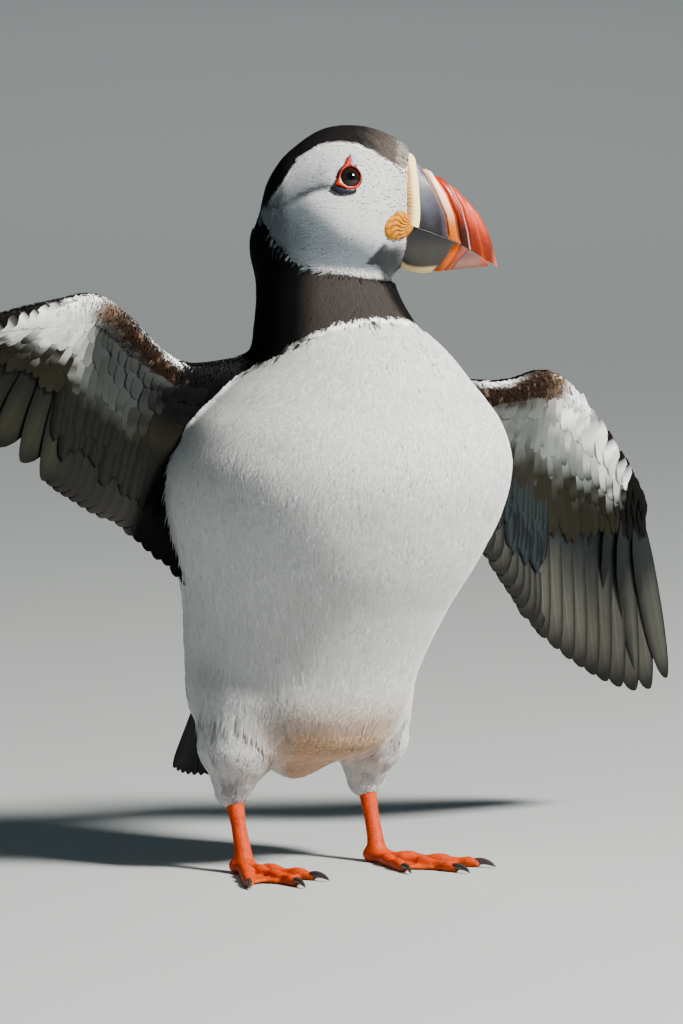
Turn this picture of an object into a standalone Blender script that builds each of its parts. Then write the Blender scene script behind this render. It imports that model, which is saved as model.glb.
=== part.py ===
"""A life-size Atlantic puffin, standing upright on both webbed feet with its wings half open and its head turned left.

The bird faces -Y, its left side is +X and the floor is z = 0. Sizes are in millimetres and are scaled by MM when a
mesh is made. Body points are written (left, forward, up) from the point on the floor midway between the ankles.
"""

import math

import bmesh
import bpy
import numpy as np
from mathutils import Matrix, Vector

MM = 0.001
GAP = 0.3  # clearance between neighbouring solids

# ---------------------------------------------------------------- driving sizes

# Trunk and neck, as level ovals: up, the centre's left and forward, half length, half width, turn to the left.
BODY = [
    (36.0, 0.0, -7.0, 11.0, 9.0, 0.0),
    (41.0, 0.0, -7.0, 27.0, 25.0, 0.0),
    (51.0, 0.0, -5.5, 36.0, 34.0, 0.0),
    (69.0, 0.0, -2.0, 42.0, 38.0, 0.0),
    (89.0, 0.0, 5.6, 47.2, 43.0, 0.0),
    (107.0, 0.0, 12.6, 53.6, 49.5, 0.0),
    (124.0, 0.0, 16.0, 57.2, 55.6, 0.0),
    (137.0, 0.0, 19.0, 59.0, 57.5, 0.0),
    (149.0, 1.0, 21.6, 52.5, 52.0, 0.0),
    (160.0, 2.0, 22.4, 43.5, 42.5, 5.0),
    (171.0, 3.0, 21.0, 36.0, 31.5, 15.0),
    (182.0, 2.5, 13.5, 28.0, 24.5, 30.0),
    (190.0, 3.0, 9.0, 24.5, 22.0, 42.0),
    (198.0, 3.5, 5.5, 23.0, 19.8, 50.0),
    (206.0, 3.2, 4.2, 23.6, 18.8, 55.0),
    (214.0, 3.2, 4.7, 22.8, 17.0, 55.0),
    (220.0, 4.0, 5.2, 19.0, 14.0, 55.0),
    (224.0, 4.5, 5.5, 13.0, 9.0, 55.0),
]
NECK_BASE = 176.0

# Head, as sections square to the line of the bill: along, top, bottom, half width. Heights are from the head's centre.
HEAD_CENTRE = (5.1, 8.8, 222.7)
HEAD_YAW = math.radians(55.0)
HEAD = [
    (-24.0, 0.0, -7.0, 2.5),
    (-22.0, 5.5, -12.0, 8.5),
    (-18.0, 13.0, -18.0, 13.5),
    (-11.5, 19.6, -23.5, 17.4),
    (-3.5, 24.6, -26.0, 19.2),
    (5.4, 25.9, -26.4, 18.6),
    (14.7, 24.3, -26.0, 15.0),
    (20.5, 21.6, -23.6, 11.2),
    (25.3, 18.2, -20.0, 8.4),
]
CHEEK_HEIGHT = -4.0
EYE = (5.5, 9.2)
EYE_RADIUS = 5.0
EYE_SUNK = 3.7
ROSETTE = (21.5, -7.6)

# Bill in profile, in the head's frame: along, culmen, line of the gape, underside, half width.
BILL = [
    (25.6, 15.6, -8.2, -21.2, 7.6),
    (30.0, 11.1, -9.6, -23.4, 6.7),
    (34.0, 9.0, -11.0, -23.1, 5.8),
    (38.0, 6.5, -12.5, -22.7, 5.1),
    (42.0, 3.1, -14.2, -22.3, 4.3),
    (46.0, -1.3, -16.2, -21.9, 3.4),
    (49.1, -5.6, -18.0, -21.5, 2.7),
    (51.5, -10.6, -19.6, -21.2, 2.0),
    (53.3, -16.4, -20.8, -21.1, 1.3),
    (54.3, -20.6, -21.8, -21.9, 0.7),
]
CERE_END = 28.8
CERE_PROUD = 0.9
LOWER_END = 51.0

# Wings: pairs of points, the leading edge and the feather tips behind it, from the shoulder to the wing's point.
WING_LEFT = [
    ((24.0, 2.0, 169.0), (42.0, -8.0, 108.0)),
    ((70.0, 11.0, 164.5), (76.0, -6.5, 103.0)),
    ((93.0, 10.0, 164.5), (103.5, -14.0, 75.5)),
    ((112.0, 5.0, 152.5), (121.0, -21.0, 64.0)),
    ((135.5, -3.0, 129.5), (138.0, -29.5, 56.0)),
    ((156.5, -18.0, 106.5), (154.5, -37.5, 49.5)),
    ((177.5, -34.0, 77.0), (172.5, -44.5, 45.0)),
    ((190.5, -48.0, 49.5), (189.0, -49.0, 46.5)),
]
WING_RIGHT = [
    ((-22.0, 2.0, 171.0), (-39.0, -9.0, 93.0)),
    ((-54.5, 4.5, 172.0), (-66.0, -8.0, 114.0)),
    ((-80.5, 2.0, 194.0), (-87.5, -14.0, 127.0)),
    ((-98.0, 0.0, 193.5), (-102.5, -18.0, 140.0)),
    ((-122.5, -4.0, 188.0), (-123.5, -22.0, 149.5)),
    ((-151.0, -16.0, 177.0), (-149.5, -30.0, 146.5)),
    ((-180.0, -31.0, 160.5), (-178.0, -40.0, 140.0)),
    ((-206.0, -47.0, 143.0), (-204.5, -47.5, 140.5)),
]
WRIST = 2.0  # the pair at the wrist; the hand runs on from it
HAND_END = 5.0
COVERTS = [(0.0, 0.6), (2.0, 0.6), (3.0, 0.5), (4.0, 0.3), (5.0, 0.04), (5.2, 0.0), (7.0, 0.0)]  # share of the chord
WING_CAMBER = 5.0
ARM_THICK, HAND_THICK, BLADE_THICK = 9.0, 5.5, 1.2
SECONDARIES, PRIMARIES = 16, 10
SCALLOP = 2.6  # how far a feather's tip stands past the notch beside it

TAIL_BASE = (0.0, -40.0, 73.0)
TAIL_LENGTH, TAIL_DROP = 52.0, math.radians(70.0)
TAIL_ROOT, TAIL_SPREAD = 7.0, math.radians(12.0)
TAIL_FEATHERS = 12

# Legs: the feathered thigh, the bare shank and the foot, for the left side.
HIP, HEEL, TOE_JOINT = (24.0, -1.0, 58.0), (27.0, -4.0, 27.5), (27.0, 3.0, 5.0)
THIGH_RADII = (16.0, 14.0, 6.5)
SHANK_RADIUS = 2.7
FOOT_YAW = math.radians(10.0)
TOES = [(-27.0, 29.0), (-2.0, 38.0), (22.0, 36.0)]  # angle outwards from the foot's line, length
TOE_WIDTH, TOE_HEIGHT, WEB_HEIGHT = 2.4, 4.4, 1.2  # half width, and the two heights above the floor
WEB_SHARE = 0.84  # of the toes' length
HEEL_PAD, PALM_WIDTH = 4.0, 7.4
CLAW_LENGTH, CLAW_RADIUS = 6.5, 1.5

COLOURS = {
    "black": ((0.012, 0.011, 0.011), 0.55),
    "white": ((0.85, 0.85, 0.83), 0.8),
    "face": ((0.60, 0.61, 0.62), 0.8),
    "underwing": ((0.25, 0.24, 0.23), 0.7),
    "bill_orange": ((0.80, 0.12, 0.03), 0.35),
    "bill_slate": ((0.13, 0.14, 0.18), 0.35),
    "cere": ((0.75, 0.62, 0.38), 0.5),
    "rosette": ((0.85, 0.38, 0.02), 0.6),
    "eye": ((0.03, 0.022, 0.02), 0.1),
    "foot": ((0.82, 0.13, 0.02), 0.5),
    "claw": ((0.015, 0.013, 0.012), 0.4),
}


# ---------------------------------------------------------------- shared helpers


def through(stations, x):
    """Smooth values at x of the columns of stations, whose first column is the place of each row."""
    rows = np.asarray(stations, float)
    place, value = rows[:, 0], rows[:, 1:]
    slope = np.gradient(value, place, axis=0)
    x = np.clip(np.asarray(x, float), place[0], place[-1])
    i = np.clip(np.searchsorted(place, x, side="right") - 1, 0, len(place) - 2)
    step = (place[i + 1] - place[i])[..., None]
    t = ((x - place[i]) / step[..., 0])[..., None]
    ease = t * t * (3 - 2 * t)
    return (
        value[i] * (1 - ease)
        + value[i + 1] * ease
        + step * (t * (1 - t) ** 2 * slope[i] - t * t * (1 - t) * slope[i + 1])
    )


def material(part, finish):
    """The part's own material, in one of COLOURS."""
    made = bpy.data.materials.new(f"{part}_{finish}")
    colour, roughness = COLOURS[finish]
    made.use_nodes = True
    shader = made.node_tree.nodes["Principled BSDF"]
    shader.inputs["Base Color"].default_value = (*colour, 1.0)
    shader.inputs["Roughness"].default_value = roughness
    return made


def add_object(name, mesh, finish, collection):
    obj = bpy.data.objects.new(name, mesh)
    collection.objects.link(obj)
    if finish:
        mesh.materials.append(material(name, finish))
    mesh.shade_smooth()
    return obj


def mesh_of(name, points, faces):
    """A mesh from points in millimetres, body coordinates, with its faces turned outwards."""
    mesh = bpy.data.meshes.new(name)
    placed = np.asarray(points, float) * (MM, -MM, MM)
    mesh.from_pydata(placed.tolist(), [], faces)
    work = bmesh.new()
    work.from_mesh(mesh)
    bmesh.ops.remove_doubles(work, verts=work.verts, dist=1e-6)
    bmesh.ops.recalc_face_normals(work, faces=work.faces)
    work.to_mesh(mesh)
    work.free()
    return mesh


def tube_faces(rings, around):
    """Quads between closed rings, and a flat cap at each end."""
    faces = []
    for i in range(rings - 1):
        for j in range(around):
            k = (j + 1) % around
            faces.append((i * around + j, i * around + k, (i + 1) * around + k, (i + 1) * around + j))
    faces.append(tuple(range(around)))
    faces.append(tuple(range((rings - 1) * around, rings * around)))
    return faces


def slab_mesh(name, upper, lower):
    """A closed slab between two grids of the same shape."""
    rows, columns = upper.shape[:2]
    points = np.concatenate([upper.reshape(-1, 3), lower.reshape(-1, 3)])
    under = rows * columns

    def at(i, j):
        return i * columns + j

    faces = []
    for i in range(rows - 1):
        for j in range(columns - 1):
            quad = (at(i, j), at(i + 1, j), at(i + 1, j + 1), at(i, j + 1))
            faces += [quad, tuple(under + k for k in reversed(quad))]
    rim = [at(i, 0) for i in range(rows)]
    rim += [at(rows - 1, j) for j in range(1, columns)]
    rim += [at(i, columns - 1) for i in range(rows - 2, -1, -1)]
    rim += [at(0, j) for j in range(columns - 2, 0, -1)]
    for a, b in zip(rim, rim[1:] + rim[:1]):
        faces.append((b, a, under + a, under + b))
    return mesh_of(name, points, faces)


def cut_with(obj, *cutters):
    """Takes the cutters' shapes out of obj."""
    for cutter in cutters:
        modifier = obj.modifiers.new("cut_" + cutter.name, "BOOLEAN")
        modifier.operation = "DIFFERENCE"
        modifier.solver = "EXACT"
        modifier.use_self = True
        modifier.object = cutter


def grown(obj, collection, by=GAP):
    """A cutter with obj's shape, larger all round by the clearance."""
    cutter = bpy.data.objects.new("grown_" + obj.name, obj.data.copy())
    collection.objects.link(cutter)
    cutter.matrix_world = obj.matrix_world
    swell = cutter.modifiers.new("swell", "DISPLACE")
    swell.strength = by * MM
    swell.mid_level = 0.0
    cutter.hide_render = True
    cutter.display_type = "WIRE"
    return cutter


# ---------------------------------------------------------------- trunk and neck


def body_rings(heights, around):
    """Level oval rings of the trunk and neck at these heights."""
    left, ahead, half_length, half_width, turned = through(BODY, heights).T[:, :, None]
    angle = np.linspace(0, 2 * math.pi, around, endpoint=False)
    aside, along = half_width * np.cos(angle), half_length * np.sin(angle)
    cos, sin = np.cos(np.radians(turned)), np.sin(np.radians(turned))
    up = np.repeat(np.asarray(heights)[:, None], around, axis=1)
    return np.stack([left + aside * cos + along * sin, ahead + along * cos - aside * sin, up], axis=-1)


def make_trunk(parts):
    low, around = BODY[0][0], 26
    share = np.linspace(0, 1, 17)
    heights = low + (NECK_BASE - low) * (0.3 * share**2 + 0.7 * share)
    rings = body_rings(heights, around)
    mesh = mesh_of("trunk", rings.reshape(-1, 3), tube_faces(len(heights), around))
    return add_object("trunk", mesh, "white", parts)


def make_neck(parts):
    around = 24
    heights = np.linspace(NECK_BASE + GAP, BODY[-1][0], 8)
    rings = body_rings(heights, around)
    mesh = mesh_of("neck", rings.reshape(-1, 3), tube_faces(len(heights), around))
    return add_object("neck", mesh, "black", parts)


# ---------------------------------------------------------------- head and bill


def from_head(points):
    """Points (aside, along, up) of the head's frame as body points. The bill points along, and aside is the head's left."""
    aside, along, up = np.moveaxis(np.asarray(points, float), -1, 0)
    sin, cos = math.sin(HEAD_YAW), math.cos(HEAD_YAW)
    left = HEAD_CENTRE[0] + along * sin + aside * cos
    forward = HEAD_CENTRE[1] + along * cos - aside * sin
    return np.stack([left, forward, HEAD_CENTRE[2] + up], axis=-1)


def head_width(along, up):
    """The head's half width at a place in its profile."""
    top, bottom, half_width = through(HEAD, along)
    reach = (up - CHEEK_HEIGHT) / ((top if up > CHEEK_HEIGHT else bottom) - CHEEK_HEIGHT)
    return half_width * math.sqrt(max(0.0, 1 - reach * reach))


def make_head(parts):
    along = np.array([-24.0, -22.8, -20.5, -16.5, -11, -5, 1, 7, 12, 16.5, 21, 25.3])
    around = 24
    top, bottom, half_width = through(HEAD, along).T
    turn = np.linspace(0, 2 * math.pi, around, endpoint=False)
    reach = np.where(np.sin(turn) > 0, (top - CHEEK_HEIGHT)[:, None], (CHEEK_HEIGHT - bottom)[:, None])
    aside = half_width[:, None] * np.cos(turn)
    up = CHEEK_HEIGHT + reach * np.sin(turn)
    rings = from_head(np.stack([aside, np.repeat(along[:, None], around, axis=1), up], axis=-1))
    mesh = mesh_of("head", rings.reshape(-1, 3), tube_faces(len(along), around))
    return add_object("head", mesh, "face", parts)


def mandible_rings(along, upper, swell=0.0):
    """Half-oval sections of the upper or lower mandible, flat along the gape."""
    culmen, gape, under, half_width = through(BILL, along).T
    gape_gap = GAP / 2 if upper else -GAP / 2
    edge = (culmen if upper else under) + (swell if upper else -swell)
    turn = np.linspace(0, math.pi, 11)
    slab = np.sign(np.cos(turn)) * np.abs(np.cos(turn)) ** 0.8
    aside = (half_width + swell)[:, None] * slab
    reach = (edge - gape - gape_gap)[:, None]
    up = (gape + gape_gap)[:, None] + reach * np.sin(turn) ** 1.15
    return from_head(np.stack([aside, np.repeat(along[:, None], len(turn), axis=1), up], axis=-1))


def make_bill(parts):
    pieces = [
        ("cere", True, np.linspace(BILL[0][0], CERE_END - GAP, 3), CERE_PROUD, "cere"),
        ("bill_upper", True, np.linspace(CERE_END, BILL[-1][0], 11), 0.0, "bill_orange"),
        ("bill_lower", False, np.linspace(BILL[0][0], LOWER_END, 10), 0.0, "bill_slate"),
    ]
    for name, upper, along, swell, finish in pieces:
        rings = mandible_rings(along, upper, swell)
        mesh = mesh_of(name, rings.reshape(-1, 3), tube_faces(len(along), rings.shape[1]))
        add_object(name, mesh, finish, parts)


def pebble(name, finish, radii, side, along, up, sunk, tilt, parts, cutters, segments=14):
    """An oval solid let into the head's side, and the slightly larger cutter for its bed."""
    width = head_width(along, up)
    step = 0.5
    lean_along = (head_width(along + step, up) - head_width(along - step, up)) / (2 * step)
    lean_up = (head_width(along, up + step) - head_width(along, up - step)) / (2 * step)
    out = np.array([1.0, -lean_along, -lean_up])
    out /= np.linalg.norm(out)
    tangent = np.array([0.0, math.cos(tilt), math.sin(tilt)])
    tangent -= out * (tangent @ out)
    tangent /= np.linalg.norm(tangent)
    across = np.cross(out, tangent)
    centre = np.array([width, along, up]) - sunk * out
    made = []
    for grow in (0.0, GAP):
        work = bmesh.new()
        bmesh.ops.create_uvsphere(work, u_segments=segments, v_segments=segments * 2 // 3, radius=1.0)
        ball = np.array([v.co for v in work.verts])
        faces = [tuple(v.index for v in f.verts) for f in work.faces]
        work.free()
        shaped = centre + (
            ball[:, [2]] * (radii[0] + grow) * out
            + ball[:, [0]] * (radii[1] + grow) * tangent
            + ball[:, [1]] * (radii[2] + grow) * across
        )
        shaped[:, 0] *= side
        made.append(mesh_of(name, from_head(shaped), faces))
    obj = add_object(name, made[0], finish, parts)
    cutter = add_object("bed_" + name, made[1], None, cutters)
    cutter.hide_render = True
    cutter.display_type = "WIRE"
    return obj, cutter


def make_face(parts, cutters):
    """Eyes, the horny plates above and below them, and the rosettes at the corners of the mouth."""
    along, up = EYE
    beds = []
    for label, side in (("left", 1.0), ("right", -1.0)):
        ball = (EYE_RADIUS,) * 3
        _, eye_bed = pebble(f"eye_{label}", "eye", ball, side, along, up, EYE_SUNK, 0.0, parts, cutters, 10)
        plates = [
            ("eye_plate_upper", (1.0, 2.8, 1.5), along + 1.0, up + 5.0, math.radians(80)),
            ("eye_plate_lower", (1.0, 3.9, 1.5), along - 1.0, up - 4.3, math.radians(-8)),
        ]
        for name, radii, place, height, tilt in plates:
            plate, bed = pebble(
                f"{name}_{label}", "bill_slate", radii, side, place, height, 0.1, tilt, parts, cutters, 8
            )
            cut_with(plate, eye_bed)
            beds.append(bed)
        radii = (2.0, 3.4, 4.4)
        tilt = math.radians(-25)
        _, bed = pebble(f"rosette_{label}", "rosette", radii, side, *ROSETTE, 0.2, tilt, parts, cutters, 9)
        beds += [bed, eye_bed]
    return beds


# ---------------------------------------------------------------- wings


def wing_point(pairs, s, t):
    """Places on the wing: s counts the pairs from the shoulder out, t runs from the leading edge to the tips."""
    lead = through([(i, *pair[0]) for i, pair in enumerate(pairs)], s)
    tips = through([(i, *pair[1]) for i, pair in enumerate(pairs)], s)
    return lead + (tips - lead) * np.asarray(t)[..., None]


def wing_grid(pairs, s, t, thickness):
    """The dorsal and ventral faces of a stretch of wing, arched backwards by the camber."""
    step = 0.01
    flat = wing_point(pairs, s, t)
    along = wing_point(pairs, np.clip(s + step, 0, 7), t) - wing_point(pairs, np.clip(s - step, 0, 7), t)
    chord = wing_point(pairs, s, t + step) - wing_point(pairs, s, t - step)
    dorsal = np.cross(along, chord)
    dorsal /= np.linalg.norm(dorsal, axis=-1, keepdims=True)
    dorsal *= np.where(dorsal[..., 1:2] > 0, -1.0, 1.0)
    taper = np.clip((7.0 - s) / 3.0, 0.0, 1.0)
    arch = (WING_CAMBER * taper * np.sin(math.pi * np.clip(t, 0, 1)) ** 0.8)[..., None]
    return flat + dorsal * (arch + thickness[..., None] / 2), flat + dorsal * (arch - thickness[..., None] / 2)


def covert_edge(s):
    """The share of the chord that coverts hide. It runs out to nothing on the outer feathers."""
    return np.interp(s, *zip(*COVERTS))


def make_fleshy(name, pairs, start, end, rows, parts):
    """The arm or hand with its coverts: thick behind a rounded leading edge, thin where the flight feathers start."""
    s = np.repeat(np.linspace(start, end, rows)[:, None], 9, axis=1)
    u = np.repeat(np.array([[0.0, 0.025, 0.09, 0.2, 0.35, 0.5, 0.68, 0.85, 1.0]]), rows, axis=0)
    t = u * covert_edge(s)
    full = ARM_THICK + (HAND_THICK - ARM_THICK) * np.clip(s - 1.0, 0, 1) - 2.0 * np.clip((s - 3.0) / 2.0, 0, 1)
    rounded = np.sqrt(np.clip(u / 0.2, 0, 1) * (2 - np.clip(u / 0.2, 0, 1)))
    thickness = (full * (1 - u) ** 1.2 + 1.9 * u ** 0.7) * rounded + 0.7 * (1 - rounded)
    upper, lower = wing_grid(pairs, s, t, thickness)
    return add_object(name, slab_mesh(name, upper, lower), "underwing", parts)


def make_blade(name, pairs, start, end, feathers, parts):
    """A row of flight feathers as one thin blade with a notch between each pair of tips."""
    per_feather, rows = 3, 3
    columns = feathers * per_feather + 1
    phase = np.arange(columns) / per_feather
    s = np.linspace(start, end, columns)
    notch = np.abs(np.cos(math.pi * phase)) ** 2
    lead, tips = wing_point(pairs, s, np.zeros(columns)), wing_point(pairs, s, np.ones(columns))
    chord = np.linalg.norm(tips - lead, axis=-1)
    inner = np.minimum(covert_edge(s) + GAP * 1.5 / chord, 0.8)
    outer = 1 - np.minimum(SCALLOP / chord, 0.25) * notch
    share = np.linspace(0, 1, rows)
    t = inner[:, None] + (outer - inner)[:, None] * share
    thickness = np.repeat((BLADE_THICK - 0.4 * share)[None], columns, axis=0)
    upper, lower = wing_grid(pairs, np.repeat(s[:, None], rows, axis=1), t, thickness)
    return add_object(name, slab_mesh(name, upper, lower), "underwing", parts)


def make_wing(label, pairs, trunk_cutter, parts):
    seam = GAP / 40.0  # the clearance as a share of one pair's spacing
    arm = make_fleshy(f"wing_{label}_arm", pairs, 0.0, WRIST - seam, 8, parts)
    make_fleshy(f"wing_{label}_hand", pairs, WRIST + seam, HAND_END, 11, parts)
    secondaries = make_blade(f"wing_{label}_secondaries", pairs, 0.0, WRIST - seam, SECONDARIES, parts)
    make_blade(f"wing_{label}_primaries", pairs, WRIST + seam, 6.95, PRIMARIES, parts)
    cut_with(arm, trunk_cutter)
    cut_with(secondaries, trunk_cutter)


# ---------------------------------------------------------------- tail


def make_tail(trunk_cutter, parts):
    """A short fan of blunt feathers, dropping steeply behind the legs."""
    per_feather, rows = 3, 3
    columns = TAIL_FEATHERS * per_feather + 1
    phase = np.arange(columns) / per_feather
    spread = np.linspace(-1, 1, columns)
    reach = TAIL_LENGTH * (1 - 0.10 * spread**2) - 2.0 * np.abs(np.cos(math.pi * phase)) ** 2
    share = np.linspace(0, 1, rows)
    length = reach[:, None] * share
    aside = spread[:, None] * (TAIL_ROOT + length * math.tan(TAIL_SPREAD))
    arch = 3.0 * (1 - spread[:, None] ** 2)
    thickness = 5.0 - 3.8 * share[None] ** 0.6 + 0 * length
    faces = []
    for half in (0.5, -0.5):
        lift = arch + half * thickness
        forward = TAIL_BASE[1] - length * math.cos(TAIL_DROP) - lift * math.sin(TAIL_DROP)
        up = TAIL_BASE[2] - length * math.sin(TAIL_DROP) + lift * math.cos(TAIL_DROP)
        faces.append(np.stack([aside, forward, up], axis=-1))
    tail = add_object("tail", slab_mesh("tail", *faces), "black", parts)
    cut_with(tail, trunk_cutter)


# ---------------------------------------------------------------- legs


def limb(name, path, radii, finish, parts, around=12):
    """A round limb along a few points, its radius changing smoothly."""
    places = np.linspace(0, len(path) - 1, 3 * (len(path) - 1) + 1)
    centres = through([(i, *p) for i, p in enumerate(path)], places)
    radius = through([(i, r) for i, r in enumerate(radii)], places)[:, 0]
    along = np.gradient(centres, axis=0)
    along /= np.linalg.norm(along, axis=1, keepdims=True)
    side = np.cross(along, (0.0, 1.0, 0.0))
    side /= np.linalg.norm(side, axis=1, keepdims=True)
    front = np.cross(side, along)
    turn = np.linspace(0, 2 * math.pi, around, endpoint=False)[None, :, None]
    rings = centres[:, None] + radius[:, None, None] * (np.cos(turn) * side[:, None] + np.sin(turn) * front[:, None])
    mesh = mesh_of(name, rings.reshape(-1, 3), tube_faces(len(places), around))
    return add_object(name, mesh, finish, parts)


def foot_point(side, angle, distance):
    """A place on the floor, at a distance from the toe joint and an angle outwards from the foot's line."""
    turn = FOOT_YAW + np.radians(angle)
    left = TOE_JOINT[0] + distance * np.sin(turn)
    return side * left, TOE_JOINT[1] + distance * np.cos(turn)


def make_foot(label, side, parts):
    """Three toes and the webs between them, flat underneath, fanned out from a narrow palm."""
    rows = np.linspace(0, 1, 10)
    step = PALM_WIDTH / 10
    width = np.interp(rows, [0, 0.25, 0.9, 1.0], [step, TOE_WIDTH, 0.68 * TOE_WIDTH, 0.35 * TOE_WIDTH])
    ridge = np.interp(rows, [0, 0.15, 0.9, 1.0], [0.9 * TOE_HEIGHT, TOE_HEIGHT, 0.6 * TOE_HEIGHT, 0.42 * TOE_HEIGHT])
    palm_side = np.array([math.cos(FOOT_YAW), -math.sin(FOOT_YAW)])
    heel = np.array(foot_point(1.0, 0.0, -HEEL_PAD))
    lines = []

    def add_line(place, angle, length, offset, height):
        start = heel + palm_side * place * step
        end = np.array(foot_point(1.0, angle, length))
        ahead = (end - start) / np.linalg.norm(end - start)
        across = np.array([ahead[1], -ahead[0]])
        flat = start + (end - start) * rows[:, None] + across * offset[:, None]
        lines.append(np.column_stack([flat, height]))

    for i, (angle, length) in enumerate(TOES):
        place = 4 * i - 4
        for edge, share in ((-1, 0.5), (0, 1.0), (1, 0.5)):
            add_line(place, angle, length, edge * width, WEB_HEIGHT + (ridge - WEB_HEIGHT) * share)
        if i < len(TOES) - 1:
            next_angle, next_length = TOES[i + 1]
            web_height = np.interp(rows, [0, 0.2, 1.0], [0.6 * TOE_HEIGHT, WEB_HEIGHT, WEB_HEIGHT])
            web_length = WEB_SHARE * (length + next_length) / 2
            add_line(place + 2, (angle + next_angle) / 2, web_length, 0 * rows, web_height)
    upper = np.stack(lines) * (side, 1, 1)
    lower = upper * (1, 1, 0)
    add_object(f"foot_{label}", slab_mesh(f"foot_{label}", upper, lower), "foot", parts)


def make_claws(label, side, parts):
    for number, (angle, length) in enumerate(TOES, 1):
        rows = np.linspace(0, 1, 4)
        left, forward = foot_point(side, angle, length + 1.5 * GAP + CLAW_LENGTH * rows)
        radius = CLAW_RADIUS * (1 - 0.8 * rows)
        height = CLAW_RADIUS + 0.9 * np.sin(math.pi * rows) - 0.75 * CLAW_RADIUS * rows
        turn = np.linspace(0, 2 * math.pi, 6, endpoint=False)
        heading = side * (FOOT_YAW + math.radians(angle))
        x = left[:, None] + radius[:, None] * np.cos(turn) * math.cos(heading)
        y = forward[:, None] - radius[:, None] * np.cos(turn) * math.sin(heading)
        z = height[:, None] + radius[:, None] * np.sin(turn) + 0.02
        rings = np.stack([x, y, z], axis=-1)
        name = f"claw_{label}_{number}"
        add_object(name, mesh_of(name, rings.reshape(-1, 3), tube_faces(len(rows), 6)), "claw", parts)


def make_leg(label, side, trunk_cutter, parts, cutters):
    hip, heel, toe = (np.array(p) * (side, 1, 1) for p in (HIP, HEEL, TOE_JOINT))
    thigh = limb(f"thigh_{label}", [hip, (hip + heel) / 2 + (side, 1.0, 0), heel], THIGH_RADII, "white", parts)
    cut_with(thigh, trunk_cutter)
    down = (toe - heel) / np.linalg.norm(toe - heel)
    start = heel + down * 1.2
    shank = limb(
        f"shank_{label}",
        [start, (start + toe) / 2, toe + down * 4.0],
        (SHANK_RADIUS * 1.25, SHANK_RADIUS, SHANK_RADIUS * 1.2),
        "foot",
        parts,
        8,
    )
    make_foot(label, side, parts)
    foot = bpy.data.objects[f"foot_{label}"]
    cut_with(shank, grown(foot, cutters), grown(thigh, cutters))
    make_claws(label, side, parts)


# ---------------------------------------------------------------- the whole bird


def centre_on_floor(parts):
    """Hangs every part from one empty, moved so that the origin is the middle of the bird's footprint box."""
    empty = bpy.data.objects.new("puffin", None)
    parts.objects.link(empty)
    bpy.context.view_layer.update()
    graph = bpy.context.evaluated_depsgraph_get()
    corners = []
    for obj in parts.objects:
        if obj.type == "MESH":
            corners += [obj.matrix_world @ v.co for v in obj.evaluated_get(graph).data.vertices]
    corners = np.array(corners)
    middle = (corners.min(axis=0) + corners.max(axis=0)) / 2
    everything = [o for o in bpy.data.objects if o.type == "MESH"]
    for obj in everything:
        obj.parent = empty
    empty.location = (-middle[0], -middle[1], -corners[:, 2].min())


def main():
    for obj in list(bpy.data.objects):
        bpy.data.objects.remove(obj)
    parts = bpy.data.collections.new("atlantic_puffin")
    cutters = bpy.data.collections.new("cutters")
    for collection in (parts, cutters):
        bpy.context.scene.collection.children.link(collection)

    trunk, neck, head = make_trunk(parts), make_neck(parts), make_head(parts)
    make_bill(parts)
    head_cutter, trunk_cutter = grown(head, cutters), grown(trunk, cutters)
    cut_with(neck, head_cutter)
    cut_with(head, *make_face(parts, cutters))
    make_wing("left", WING_LEFT, trunk_cutter, parts)
    make_wing("right", WING_RIGHT, trunk_cutter, parts)
    make_tail(trunk_cutter, parts)
    for label, side in (("left", 1.0), ("right", -1.0)):
        make_leg(label, side, trunk_cutter, parts, cutters)
    centre_on_floor(parts)


main()
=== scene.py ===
"""A life-size Atlantic puffin in summer plumage, upright on both feet, wings half open and head turned to its left.

Each piece is worked out in millimetres as (left, back, up) from the point on the floor between the bird's ankles, and
is set in the CAD frame when its mesh is made.
"""

import math

import bpy
import numpy as np
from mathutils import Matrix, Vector


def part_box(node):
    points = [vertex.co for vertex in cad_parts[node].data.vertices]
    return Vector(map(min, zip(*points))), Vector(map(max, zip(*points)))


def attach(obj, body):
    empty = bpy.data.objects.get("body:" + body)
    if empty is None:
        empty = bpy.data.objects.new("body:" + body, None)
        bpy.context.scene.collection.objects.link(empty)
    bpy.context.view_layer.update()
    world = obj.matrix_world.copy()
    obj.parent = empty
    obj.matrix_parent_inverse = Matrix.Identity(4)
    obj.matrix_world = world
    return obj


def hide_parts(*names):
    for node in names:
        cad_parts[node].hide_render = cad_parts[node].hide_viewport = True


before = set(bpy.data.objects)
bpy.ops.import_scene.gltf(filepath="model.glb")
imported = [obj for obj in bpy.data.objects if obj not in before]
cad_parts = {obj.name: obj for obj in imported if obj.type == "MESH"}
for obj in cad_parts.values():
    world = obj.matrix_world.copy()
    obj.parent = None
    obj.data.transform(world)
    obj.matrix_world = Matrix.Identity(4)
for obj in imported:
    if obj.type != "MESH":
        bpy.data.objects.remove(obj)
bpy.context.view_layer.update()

# ---------------------------------------------------------------- skin
# The skin is one unbroken sheet over the trunk, neck, head, thighs and wing bones. On a mounted bird it is the
# tanned hide that every feather stands in, and it shows only as a darker ground between feathers. It lies inside
# the solids by the depth of the plumage.

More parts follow.
